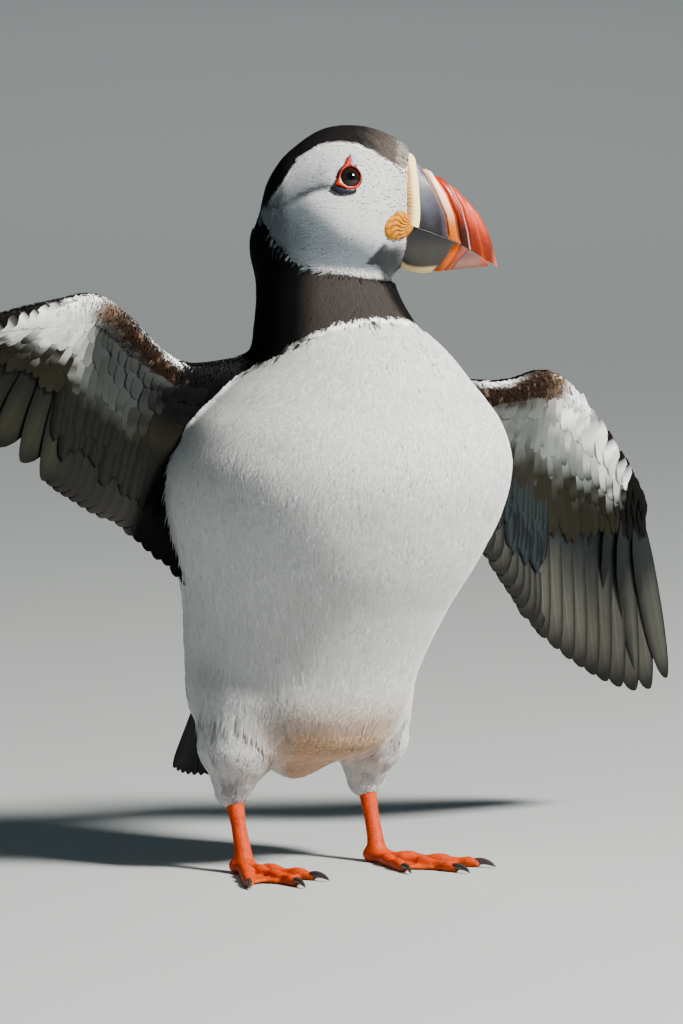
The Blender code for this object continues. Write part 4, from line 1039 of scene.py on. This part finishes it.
def upper_horn(along, up, culmen):
    """Relief in mm and colour of the upper mandible: each plate fades up its height and is parted by grooves."""
    back, front = past(RIDGE_BACK, along, up), past(RIDGE_FRONT, along, up)
    pale, faint = past(PALE_GROOVE, along, up), past(FAINT_GROOVE, along, up)
    lines = np.sin(back * 9.0 + 0.8 * np.sin(up * 1.3))
    relief = 0.30 * band(back, 0.3, 100) * ease(-front, -0.1, 0.6) - 0.30 * hump(back, 0.35)
    relief -= 0.42 * hump(front - 0.45, 0.5) + 0.38 * hump(pale, 0.42)
    relief -= 0.16 * hump(faint, 0.5) + 0.015 * lines
    # Slate, orange and red plates are darker low down, towards the gape: partly their own colour, partly painted shade.
    slate = mix("#1f1d21", "#4a4e5a", ease(up + 1.2 * np.sin(back), -9, 6))
    slate = mix(slate, "#b5a8ab", ease(up, 9, 13))
    slate = mix(slate, "#3c333c", 0.8 * band(back, -1.5, -0.1, 0.4))
    cream = mix("#a85400", "#e2b090", ease(up, -9, 1))
    cream = mix(cream, "#f6e6da", 0.6 * hump(back - 1.6, 0.5) * ease(up, -4, 6))
    orange = mix("#2c0a00", "#922000", ease(up + 0.5 * front, -9, 4))
    outer = mix("#5c1600", "#b02a00", ease(up + 0.9 * pale, -11, 0))
    outer = mix(outer, "#b04010", 0.3 * hump(faint, 0.7))
    outer = mix(outer, "#b0664a", 0.6 * ease(along, 52.0, 54.2))
    colour = mix(slate, cream, ease(back, -0.12, 0.12))
    colour = mix(colour, orange, ease(front, -0.12, 0.12))
    colour = mix(colour, outer, ease(pale, -0.2, 0.2))
    # Dark lines at the plates' edges. Low on the bill, the line ahead of the ridge and the band behind the pale groove
    # are painted shade.
    seams = np.maximum(band(back, -0.1, 0.12, 0.12), band(front, 0.0, 0.7, 0.2) * ease(-up, -4, 4))
    colour = mix(colour, "#7a3414", 0.75 * seams)
    colour = mix(colour, "#a08088", 0.85 * band(pale, -0.2, 0.16, 0.1))
    colour = mix(colour, "#5c2a20", 0.5 * band(pale, 0.35, 0.7, 0.2) * ease(-up, -2, 6))
    high = ease(up - (culmen - 7.0), 0, 6) * ease(-back, 0, 2)
    return relief, colour * (1 + 0.04 * lines)[..., None] * (1 - 0.12 * high)[..., None]


def lower_horn(along, up, gape, under, base):
    """Relief in mm and colour of the lower mandible, with grooves at the edges of its three plates."""
    back, mid, front = past(LOWER_BACK, along, up), past(LOWER_MID, along, up), past(LOWER_FRONT, along, up)
    lines = np.sin(back * 8.0)
    relief = -0.25 * hump(back, 0.4) - 0.3 * hump(mid, 0.45) - 0.25 * hump(front, 0.45)
    relief += 0.12 * ease(back, 0, 1) - 0.012 * lines
    grey = mix("#1c1b1e", "#33312f", ease(-up, 9, 17))
    grey = mix(grey, "#e0c490", ease(-(up - under), -2.6, -1.2) * ease(-back, 0.3, 1.5))
    grey = mix(grey, "#5c1e08", 0.9 * ease(-base, -26.0, -25.6))
    orange = mix("#b04c00", "#6a2600", ease(up, -18, -13))
    orange = mix(orange, "#6e3c3a", 0.8 * ease(mid, 0.2, 0.7) * ease(up, -22, -19))
    tip = mix("#5e4442", "#8e6458", ease(-up, 17, 21))
    tip = mix(tip, "#b03800", 0.7 * ease(along, 47.5, 50.5))
    colour = mix(grey, orange, ease(back, -0.15, 0.15))
    colour = mix(colour, tip, ease(front, -0.2, 0.2))
    seams = np.maximum(band(mid, -0.15, 0.2, 0.15), band(front, -0.15, 0.15, 0.15))
    colour = mix(colour, "#541c06", 0.85 * seams)
    colour = mix(colour, "#1c1619", 0.85 * ease(up - gape, -0.6, -0.1))
    return relief, colour * (1 + 0.03 * lines)[..., None]


def circle(count):
    """Angles spaced evenly round a full turn."""
    return np.linspace(0, 2 * math.pi, count, endpoint=False)


def tube(points):
    """Quads and end caps of a closed tube given as (row, around, 3), with the faces outwards."""
    rows, around = points.shape[:2]
    k = np.arange(around)
    quads = (around * np.arange(rows - 1)[:, None, None] + ring_quads(around)).reshape(-1, 4)
    caps = np.stack([k[::-1], around * (rows - 1) + k])
    return outward(points, [quads, caps])


# Horn: keratin laid down in growth lines, hard and faintly waxy, so it has soft highlights.
horn, tree, shader = new_material("bill_horn", 0.34, IOR=1.55, Specular_IOR_Level=0.18, Subsurface_Weight=0.05,
                                  Subsurface_Scale=0.0015)
colour = add_node(tree, "ShaderNodeAttribute", attribute_name="plumage")
place = add_node(tree, "ShaderNodeTexCoord")
cloud = add_node(tree, "ShaderNodeTexNoise", [("Vector", place, "Object")], Scale=420.0, Detail=5.0, Roughness=0.6)
tone = add_node(tree, "ShaderNodeMapRange", [("Value", cloud, "Fac")], From_Min=0.25, From_Max=0.75, To_Min=0.84,
                To_Max=1.1)
worn = add_node(tree, "ShaderNodeVectorMath", [(0, colour, "Color"), (1, tone, "Result")], operation="MULTIPLY")
fine = add_node(tree, "ShaderNodeTexNoise", [("Vector", place, "Object")], Scale=1800.0, Detail=3.0)
relief = add_node(tree, "ShaderNodeBump", [("Height", fine, "Fac")], Strength=0.35, Distance=0.00008)
polish = add_node(tree, "ShaderNodeMapRange", [("Value", cloud, "Fac")], To_Min=0.26, To_Max=0.46)
set_node(tree, shader, [("Base Color", worn, "Vector"), ("Roughness", polish, "Result"), ("Normal", relief, "Normal")])

BILL_TURN = 1.15  # how square the horn's section is over the culmen, as a power of the sine of the turn
for name, start, end, sign in (("bill_upper", 26.2, 54.3, 1), ("bill_lower", 25.2, 51.2, -1)):
    upper = sign > 0
    along = np.linspace(start, end, 190)
    culmen, gape, under, half_width = (c[:, None] for c in through(BILL, along).T)
    turn = np.linspace(0, math.pi, 120)
    edge = culmen if upper else under
    lip = 0.06 * sign
    aside = half_width * np.sign(np.cos(turn)) * np.abs(np.cos(turn)) ** 0.8
    up = gape + lip + (edge - gape - lip) * np.sin(turn) ** BILL_TURN
    far = base = np.broadcast_to(along[:, None], aside.shape)
    if not upper:  # the lower mandible's base slants back beneath the rim of the mouth
        far = far - 0.28 * np.clip(gape - up, 0, 14) * ease(-far, -36, -25)
    relief, colours = upper_horn(far, up, culmen) if upper else lower_horn(far, up, gape, under, base)
    shell = np.stack([aside, far, up], axis=-1)
    rows, across = np.gradient(shell, axis=(0, 1))
    normal = unit(np.cross(across, rows)) * sign
    normal = normal * np.sign((normal[..., 0] * aside).sum())
    fade = np.clip(np.minimum(turn, math.pi - turn) / 0.12, 0, 1) * ease(54.4 - far, 0.0, 2.5)
    shell = shell + normal * (relief * fade)[..., None]
    # The roof or floor of the mouth joins the two lips, arched into the horn.
    share = np.linspace(0, 1, 10)[1:-1]
    left, right = shell[:, :1], shell[:, -1:]
    palate = right + (left - right) * share[:, None]
    palate[..., 2] += 0.8 * sign * np.sin(math.pi * share) * np.minimum(half_width, 1.5) / 1.5
    colours = np.concatenate([colours, np.broadcast_to(linear("#8a4436"), palate.shape)], axis=1)
    points = from_head(np.concatenate([shell, palate], axis=1))
    solid(f"{name}_horn", points, tube(points), horn, np.clip(colours, 0, 1),
          nodes=[name])

# The cere is a soft cream rim of thick skin where the horn meets the face, pitted with tiny papillae.
share = np.linspace(0.0, 1.0, 160)[:, None]
turn = math.pi * share
section = circle(22)
centre_up = -7.0 + (15.0 + 7.0) * np.sin(turn) ** BILL_TURN
centre = np.interp(centre_up, [-7, -4, 0, 8, 12, 15], [26.7, 27.1, 27.1, 26.6, 25.9, 25.4])
thick = np.where(np.cos(section) < 0, 3.1, 1.7)  # it reaches further back, under the feathers of the face
far = centre + thick * np.cos(section) * (0.85 + 0.15 * np.sin(turn))
bump = 0.05 * np.sin(turn * 60 + 3 * np.cos(section)) * np.sin(section)
culmen, gape, _, half_width = np.moveaxis(through(BILL, far), -1, 0)
proud = 0.15 + (0.95 + bump) * np.sin(section)
aside = (half_width + proud) * np.sign(np.cos(turn)) * np.abs(np.cos(turn)) ** 0.8
up = gape + (culmen + proud - gape) * np.sin(turn) ** BILL_TURN
points = from_head(np.stack([aside, far, up], axis=-1))
cream = linear("#e8cf90") * (1 + 0.10 * ripple(points, 1.4, 21))[..., None]
rear = ease(-np.cos(section), 0.1, 0.5)
colours = mix(cream, "#8c4c10", rear * (0.6 + 0.4 * (np.sin(turn * 110) > 0)) * 0.85)
# Bare fleshy skin: soft, slightly moist, and lit through a little.
flesh, tree, shader = new_material("bare_face_skin", 0.5, IOR=1.42, Specular_IOR_Level=0.2, Subsurface_Weight=0.2,
                                   Subsurface_Scale=0.002, Subsurface_Radius=(1.0, 0.5, 0.25))
colour = add_node(tree, "ShaderNodeAttribute", attribute_name="plumage")
place = add_node(tree, "ShaderNodeTexCoord")
wrinkles = add_node(tree, "ShaderNodeTexNoise", [("Vector", place, "Object")], Scale=1500.0, Detail=4.0, Distortion=0.6)
relief = add_node(tree, "ShaderNodeBump", [("Height", wrinkles, "Fac")], Strength=0.5, Distance=0.00018)
set_node(tree, shader, [("Base Color", colour, "Color"), ("Normal", relief, "Normal")])
solid("cere_rim", points, tube(points), flesh, np.clip(colours, 0, 1), nodes=["cere"])

# ---------------------------------------------------------------- eyes
# Each eye is a dark, wet ball in a bare red ring of beaded skin, with a small horny plate above it and a longer one
# below. A rosette of folded skin lies at the corner of the mouth. All of them grow from the skin of the head, and
# their rims sink into it.

EYE_RADIUS, EYE_SUNK = 5.0, 3.7


def cheek(along, up, proud, side):
    """A place over the side of the head at (along, up) in profile, proud mm out along the head's own slope."""

    def width(a, u):
        """Half the head's width there: half its width at the cheek, shrunk as an oval above and below."""
        top, bottom, half_width = np.moveaxis(through(HEAD, a), -1, 0)
        reach = (u - CHEEK_HEIGHT) / np.where(u > CHEEK_HEIGHT, top - CHEEK_HEIGHT, bottom - CHEEK_HEIGHT)
        return half_width * np.sqrt(np.maximum(1 - reach**2, 0.02))

    along, up = np.broadcast_arrays(np.asarray(along, float), np.asarray(up, float))
    lean_along = width(along + 0.5, up) - width(along - 0.5, up)
    lean_up = width(along, up + 0.5) - width(along, up - 0.5)
    out = unit(np.stack([np.ones_like(along), -lean_along, -lean_up], axis=-1))
    place = np.stack([width(along, up), along, up], axis=-1) + out * np.asarray(proud)[..., None]
    return place * (side, 1, 1), out * (side, 1, 1)


def boss(name, centre, outline, height, colours_of, side, nodes, finish, rings=16, spokes=72):
    """A low closed dome on the side of the head. outline is (degrees, reach) round its centre, height(x, y, share)
    how far it stands out, and its rim sinks 2 mm into the skin."""
    turn = circle(spokes)
    radius = read_line([*outline, (outline[0][0] + 360, outline[0][1])], np.degrees(turn))
    share = np.linspace(0.02, 1.0, rings)[:, None]
    x, y = share * radius * np.cos(turn), share * radius * np.sin(turn)
    place, _ = cheek(centre[0] + x, centre[1] + y, height(x, y, share), side)
    under, _ = cheek(centre[0] + x[-1:], centre[1] + y[-1:], -2.0, side)
    colours = colours_of(x, y, share, turn)
    colours = np.concatenate([colours, colours[-1:]])
    points = from_head(np.concatenate([place, under]))
    solid(name, points, tube(points), finish, np.clip(colours, 0, 1), nodes=nodes)


def dome(share):
    """Height of a blunt dome from 1 at its middle to 0 at its rim: the root of one less the share to the power 2.4."""
    return np.sqrt(np.maximum(1 - share**2.4, 0))


def plate_height(top):
    """A dome top mm high that starts a little under the feathers."""
    return lambda x, y, share: top * dome(share) - 0.25


def plate_colour(pale, dark, front):
    """Horn of one colour, clouded by a slanting wave, that darkens to its rim, less so behind than in front."""

    def found(x, y, share, turn):
        """The horn's colour at places x and y from its centre."""
        edge = ease(share, 0.62, 0.95) * (front + (1 - front) * ease(np.cos(turn), -0.1, 0.6))
        return mix(linear(pale) * (1 + 0.1 * np.sin(3.0 * x + 2.2 * y))[..., None], dark, edge)

    return found


def rosette_folds(x, y):
    """Folds from 0 to 1 that ray out from the corner of the mouth, broken up by rings round it."""
    round_corner, away = np.arctan2(y + 0.6, x - 4.6), np.hypot(x - 4.6, y + 0.6)
    rays = np.abs(np.sin(11.0 * round_corner + 0.9 * np.sin(1.3 * away))) ** 0.6
    return rays * (0.55 + 0.45 * np.abs(np.sin(1.25 * away + 0.8 * np.sin(3.0 * round_corner))) ** 0.5)


def rosette_height(x, y, share):
    """A dome with the folds cut a third of the way into it."""
    return 1.9 * dome(share) * (0.66 + 0.34 * rosette_folds(x, y)) - 0.25


def rosette_colour(x, y, share, turn):
    """Golden on the folds and brown between them, the brown partly painted shade in the grooves, and more even towards
    the rim.
    """
    base = mix("#4c2000", "#b87400", 0.1 + 0.9 * rosette_folds(x, y))
    return mix(base, "#b07000", 0.35 * ease(share, 0.6, 1.0))


# A wet cornea over the iris: smooth, with a hard highlight.
wet, tree, shader = new_material("wet_eye", 0.07, IOR=1.38)
colour = add_node(tree, "ShaderNodeAttribute", attribute_name="plumage")
set_node(tree, shader, [("Base Color", colour, "Color")])

# Outlines round each piece's centre: degrees up from straight ahead, reach.
RING_OUTER = [
    (0, 3.5), (45, 3.5), (70, 3.55), (84, 3.8), (89, 5.4), (92.5, 7.3), (97, 6.3), (105, 5.0), (120, 3.95), (150, 3.6),
    (180, 3.75), (196, 4.5), (207, 5.5), (217, 4.6), (235, 4.05), (270, 3.95), (290, 4.15), (302, 4.4), (315, 3.8),
    (335, 3.5), (360, 3.5),
]
UPPER_PLATE = [
    (0, 1.15), (48, 1.35), (75, 1.85), (100, 2.5), (111, 2.8), (122, 2.2), (155, 1.2), (180, 1.05), (237, 1.65),
    (270, 1.7), (311, 2.0), (335, 1.4),
]
LOWER_PLATE = [
    (0, 4.0), (8, 4.1), (20, 2.2), (60, 0.9), (110, 0.7), (140, 1.9), (155, 3.5), (166, 4.5), (176, 3.6), (200, 2.0),
    (240, 1.1), (270, 0.95), (310, 1.25), (335, 2.2), (351, 3.85),
]
ROSETTE = [
    (0, 4.5), (10, 4.1), (41, 4.4), (63, 4.8), (93, 4.3), (104, 3.6), (129, 3.5), (165, 3.8), (203, 4.8), (218, 5.2),
    (237, 5.4), (262, 5.2), (279, 4.8), (309, 4.8), (325, 4.9), (350, 5.2),
]
LID_INNER = 3.2

for label, side in (("left", 1.0), ("right", -1.0)):
    on_surface, out = cheek(*EYE, 0.0, side)
    ahead = unit(np.array([0.0, 1.0, 0.0]) - out * out[1])
    above = np.cross(out, ahead) * side
    polar = np.radians(np.linspace(1.0, 125.0, 90))[:, None]
    turn = circle(96)
    radius = EYE_RADIUS + 0.22 * hump(polar, 0.55)
    flat = np.cos(turn)[..., None] * ahead + np.sin(turn)[..., None] * above
    ball = radius[..., None] * (np.cos(polar)[..., None] * out + np.sin(polar)[..., None] * flat)
    points = from_head(on_surface - EYE_SUNK * out + ball)
    reach = EYE_RADIUS * np.sin(polar)
    streak = 0.5 + 0.5 * np.sin(turn * 47 + 2 * np.sin(turn * 5))
    # The iris is streaked and paler below. Its darker top is painted shade under the brow.
    pale = 0.35 + 0.4 * streak * ease(reach, 1.4, 2.2) + 0.2 * ease(-np.sin(turn), -0.2, 1)
    colours = mix("#030303", mix("#0b0908", "#1c1613", pale), ease(reach, 1.15, 1.35))
    colours = mix(colours, "#060505", ease(reach, 2.75, 3.05))
    solid(f"eyeball_{label}", points, tube(points), wet, colours, nodes=[f"eye_{label}"])

    # The ring: a fleshy, beaded lid, cream where its inner edge meets the ball behind and below.
    around = np.linspace(0, 360, 180, endpoint=False)[:, None]
    section, turn = circle(16), np.radians(around)
    outer_reach = read_line(RING_OUTER, around)
    reach = (LID_INNER + outer_reach) / 2 + (outer_reach - LID_INNER) / 2 * np.cos(section)
    rise = 0.32 + 0.42 * np.sin(section) + 0.05 * np.sin(turn * 44) * np.maximum(np.sin(section), 0)
    rise = np.where(np.sin(section) < -0.1, -1.3, rise) - 0.25 * ease(reach, 4.2, 6.0)
    place, _ = cheek(EYE[0] + reach * np.cos(turn), EYE[1] + reach * np.sin(turn), rise, side)
    points = from_head(place)
    red = linear("#a81a00") * (1 + 0.15 * ripple(points, 0.9, 22))[..., None]
    inward = ease(-np.cos(section), 0.35, 0.8) * ease(np.sin(section), -0.3, 0.1)
    rear = band(around, 185, 285, 12)
    colours = mix(mix(red, "#e6d2b4", inward * rear * 0.6), "#2a0d08", inward * (1 - rear) * 0.7)
    rows, columns = points.shape[:2]
    k, j = np.meshgrid(np.arange(rows), np.arange(columns), indexing="ij")
    n, m = (k + 1) % rows, (j + 1) % columns
    quads = np.stack([k * columns + j, k * columns + m, n * columns + m, n * columns + j], axis=-1).reshape(-1, 4)
    solid(f"eye_ring_{label}", points, outward(points, [quads]), flesh, np.clip(colours, 0, 1))

    boss(f"eye_plate_upper_horn_{label}", (EYE[0] + 1.0, EYE[1] + 5.0), UPPER_PLATE, plate_height(1.0),
         plate_colour("#8390ac", "#262b36", 0.35), side, [f"eye_plate_upper_{label}"], horn)
    boss(f"eye_plate_lower_horn_{label}", (EYE[0] - 1.8, EYE[1] - 4.5), LOWER_PLATE, plate_height(0.9),
         plate_colour("#181c24", "#0c0e12", 0.8), side, [f"eye_plate_lower_{label}"], horn)
    # The rosette: a pad of bright, deeply folded skin at the corner of the mouth.
    boss(f"rosette_skin_{label}", (21.4, -6.9), ROSETTE, rosette_height, rosette_colour, side,
         [f"rosette_{label}"], flesh, rings=40, spokes=120)

# ---------------------------------------------------------------- legs and feet
# The bare shank and three webbed toes wear orange-red scaly skin over bone. Claws are dark horn. A puffin has no
# hind toe.

HEEL, TOE_JOINT, FOOT_YAW = np.array([27.0, 4.0, 27.5]), np.array([27.0, -3.0, 4.4]), 10.0
TOES = [(-27.0, 29.0), (-2.0, 38.0), (22.0, 36.0)]  # degrees outwards from the foot's line, length
TOE_BONE = 11.5  # from one knuckle to the next
WEB_SHARE, FOOT_STEP = 0.84, 0.5  # the web's share of a toe's length, and the spacing of the foot's grid
FOOT_LOW, FOOT_HIGH = np.array([4.0, -48.0, -1.5]), np.array([52.0, 12.0, 37.0])


def foot_place(angle, distance, height):
    """A place this far from the toe joint, at an angle outwards from the foot's line."""
    turn = np.radians(FOOT_YAW + angle)
    return np.array([TOE_JOINT[0] + distance * math.sin(turn), TOE_JOINT[1] - distance * math.cos(turn), height])


def web_distance(points):
    """A thin sheet between the toes: a fan about the toe joint whose free edge curves in between the toes."""
    x, y, z = np.moveaxis(points - TOE_JOINT * (1, 1, 0), -1, 0)
    reach = np.hypot(x, y)
    angle = np.degrees(np.arctan2(x, -y)) - FOOT_YAW
    toes, lengths = zip(*TOES)
    edge = WEB_SHARE * np.interp(angle, toes, lengths)
    between = np.maximum(np.sin(np.pi * np.interp(angle, toes, range(3))) ** 2, 0)
    edge = edge * (1 - 0.10 * between)
    outside = np.maximum(reach - edge, reach * np.sin(np.radians(np.maximum(toes[0] - angle, angle - toes[-1]))))
    sag = 0.95 + 0.25 * np.cos(reach * 1.1 + 0.05 * angle) * between
    return np.maximum(outside, np.abs(z - sag) - 0.55)


foot = np.full(np.ceil((FOOT_HIGH - FOOT_LOW) / FOOT_STEP).astype(int), 20.0)
pose = dict(origin=FOOT_LOW, step=FOOT_STEP)
every = (FOOT_LOW, FOOT_LOW + FOOT_STEP * np.array(foot.shape))
join_part(foot, web_distance, *every, 0.5, **pose)
for angle, length in TOES:
    share = np.linspace(0, 1, 13)
    knuckles = 1 + 0.16 * np.cos(2 * math.pi * share * length / TOE_BONE) * ease(share, 0.05, 0.2)
    radii = np.interp(share, [0, 0.2, 0.9, 1], [2.7, 2.15, 1.75, 1.35]) * knuckles
    path = [foot_place(angle, length * one, 0.8 * radius + 0.2) for one, radius in zip(share, radii)]
    join_part(foot, lambda p: limb_distance(p, path, radii), *every, 1.0, **pose)
shank = [HEEL + (0, -0.2, 2.2), HEEL * 0.75 + TOE_JOINT * 0.25, (HEEL + TOE_JOINT) / 2, HEEL * 0.2 + TOE_JOINT * 0.8,
         TOE_JOINT - (0, 0, 1.2)]
join_part(foot, lambda p: limb_distance(p, shank, (3.6, 2.9, 2.5, 2.7, 3.3)), *every, 1.5, **pose)
sole = [TOE_JOINT + (-1.5, 2.5, -1.8), TOE_JOINT + (2.0, 2.5, -1.8)]
join_part(foot, lambda p: limb_distance(p, sole, (2.2, 2.2)), *every, 2.0, **pose)
foot = np.maximum(foot, 0.02 - (FOOT_LOW[2] + FOOT_STEP * np.arange(foot.shape[2])))
foot_points, foot_quads = nets(foot, FOOT_LOW, FOOT_STEP)
foot_points[:, 2] = np.maximum(foot_points[:, 2], 0.0)

# Scaly leg skin: small plates with darker seams, about 1 mm across, and a dull, dry sheen.
scaly, tree, shader = new_material("scaly_foot_skin", 0.48, IOR=1.45, Specular_IOR_Level=0.2, Subsurface_Weight=0.12,
                                   Subsurface_Scale=0.002)
colour = add_node(tree, "ShaderNodeAttribute", attribute_name="plumage")
place = add_node(tree, "ShaderNodeTexCoord")
stretch = add_node(tree, "ShaderNodeMapping", [("Vector", place, "Object")], Scale=(1.0, 1.0, 1.5))
scales = add_node(tree, "ShaderNodeTexVoronoi", [("Vector", stretch, "Vector")], Scale=900.0,
                  feature="DISTANCE_TO_EDGE")
seam = add_node(tree, "ShaderNodeMapRange", [("Value", scales, "Distance")], From_Max=0.16, To_Min=0.62, To_Max=1.0)
shaded = add_node(tree, "ShaderNodeVectorMath", [(0, colour, "Color"), (1, seam, "Result")], operation="MULTIPLY")
relief = add_node(tree, "ShaderNodeBump", [("Height", seam, "Result")], Strength=0.6, Distance=0.0003)
set_node(tree, shader, [("Base Color", shaded, "Vector"), ("Normal", relief, "Normal")])

# Claw horn: dense black keratin, polished by wear.
claw_horn, tree, shader = new_material("claw_horn", 0.32, IOR=1.55)
place = add_node(tree, "ShaderNodeTexCoord")
grain = add_node(tree, "ShaderNodeTexNoise", [("Vector", place, "Object")], Scale=700.0, Detail=4.0)
ramp = add_node(tree, "ShaderNodeValToRGB", [("Fac", grain, "Fac")])
ramp.color_ramp.elements[0].color = (*linear("#15110f"), 1)
ramp.color_ramp.elements[1].color = (*linear("#3a302b"), 1)
set_node(tree, shader, [("Base Color", ramp, "Color")])

UPWARDS = np.array([0, 0, 1.0])
for label, side in (("left", 1), ("right", -1)):
    web = ease(-foot_points[:, 2], -2.2, -1.2) * ease(-foot_points[:, 1], 4, 10)
    colours = mix("#b43800", "#b04400", 0.7 * web) * (1 + 0.09 * ripple(foot_points, 5.0, 31))[:, None]
    quads = foot_quads if side > 0 else foot_quads[:, ::-1]
    solid(f"leg_skin_{label}", foot_points * (side, 1, 1), [quads], scaly, np.clip(colours, 0, 1),
          nodes=[f"foot_{label}", f"shank_{label}"])
    claws, faces = [], [[], []]
    for angle, length in TOES:
        share = np.linspace(0, 1, 16)[:, None]
        turn = circle(14)
        ahead = foot_place(angle, 1.0, 0) - foot_place(angle, 0.0, 0)
        across = np.array([-ahead[1], ahead[0], 0.0])
        rise = 0.9 * np.sin(2.2 * share) - 1.75 * share**2
        spine = foot_place(angle, length - 0.9, 1.7) + 7.8 * share * ahead + rise * UPWARDS
        radius = 1.35 * np.sqrt(1 - 0.96 * share**1.3)
        ring = spine[:, None] + (radius * np.cos(turn))[..., None] * 0.8 * across
        ring = ring + (radius * np.sin(turn))[..., None] * UPWARDS
        ring[..., 2] = np.maximum(ring[..., 2], 0.02)
        ring = ring * (side, 1, 1)
        for kind, more in zip(faces, tube(ring)):
            kind.append(more + sum(len(c) for c in claws))
        claws.append(ring.reshape(-1, 3))
    solid(f"claws_{label}", np.concatenate(claws), [np.concatenate(kind) for kind in faces], claw_horn,
          nodes=[f"claw_{label}_{number}" for number in (1, 2, 3)])


# ---------------------------------------------------------------- floor, light and camera
# A plain pale studio floor of painted board, one warm lamp high on the bird's left and a weak cool fill from the
# other side. A broad lamp hung over the floor far behind the bird lights it as a backdrop.

floor_mesh = bpy.data.meshes.new("studio_floor")
floor_mesh.from_pydata([(-20, -20, 0), (20, -20, 0), (20, 20, 0), (-20, 20, 0)], [], [(0, 1, 2, 3)])
# Painted board: matt pale grey.
floor_finish, _, _ = new_material("painted_board", 0.8, Base_Color=(*linear("#9ba0a0"), 1))
floor_mesh.materials.append(floor_finish)
put("studio_floor", floor_mesh)

AZIMUTH, ELEVATION = math.radians(-35.0), math.radians(5.0)
level = np.array([-math.sin(AZIMUTH), math.cos(AZIMUTH), 0.0])
looking = level * math.cos(ELEVATION) - UPWARDS * math.sin(ELEVATION)
rightward = np.array([math.cos(AZIMUTH), math.sin(AZIMUTH), 0.0])
aim = (np.array([0.0, 0.0, 120.0]) + 11.83 * rightward - 0.87 * np.cross(rightward, looking) + SHIFT) * 0.001


def point_along(made, direction):
    """Turns a lamp or camera to look along a direction, with its top up."""
    made.rotation_mode = "QUATERNION"
    made.rotation_quaternion = Vector(direction).to_track_quat("-Z", "Y")


def studio_place(right, up, near):
    """A place given as seen from the camera, in metres from the bird's middle."""
    return aim + right * rightward + up * UPWARDS - near * level * math.cos(ELEVATION)


def add_lamp(name, place, power, colour, **shape):
    """A studio lamp of a size or shape."""
    lamp = bpy.data.lights.new(name, "AREA")
    lamp.energy, lamp.color = power, colour
    for key, value in shape.items():
        setattr(lamp, key, value)
    made = put(name, lamp)
    made.location = place
    return made


for name, place, size, power, colour in (
    ("key_lamp", studio_place(1.35, 1.4, 1.05), 0.4, 215.0, (1.0, 0.96, 0.9)),
    ("fill_lamp", studio_place(-1.6, 0.8, 1.4), 1.6, 1.5, (0.6, 0.82, 1.0)),
):
    point_along(add_lamp(name, place, power, colour, size=size), np.array([0, 0, 0.14]) - place)
hung = add_lamp("backdrop_lamp", studio_place(0.0, 3.0, -7.0), 90.0, (1.0, 0.99, 0.97), shape="RECTANGLE", size=4.0,
                size_y=9.0, spread=math.radians(100))
hung.rotation_euler = (0, 0, AZIMUTH)
world = bpy.data.worlds.new("studio")
bpy.context.scene.world = world
world.use_nodes = True
set_node(world.node_tree, world.node_tree.nodes["Background"], Color=(0.62, 0.86, 0.98, 1), Strength=0.10)

camera_data = bpy.data.cameras.new("camera")
camera_data.sensor_fit = "VERTICAL"
camera_data.sensor_height = 36.0
camera_data.lens = 316.4
camera = put("camera", camera_data)
camera.location = aim - 3.0 * looking
point_along(camera, looking)
bpy.context.scene.camera = camera
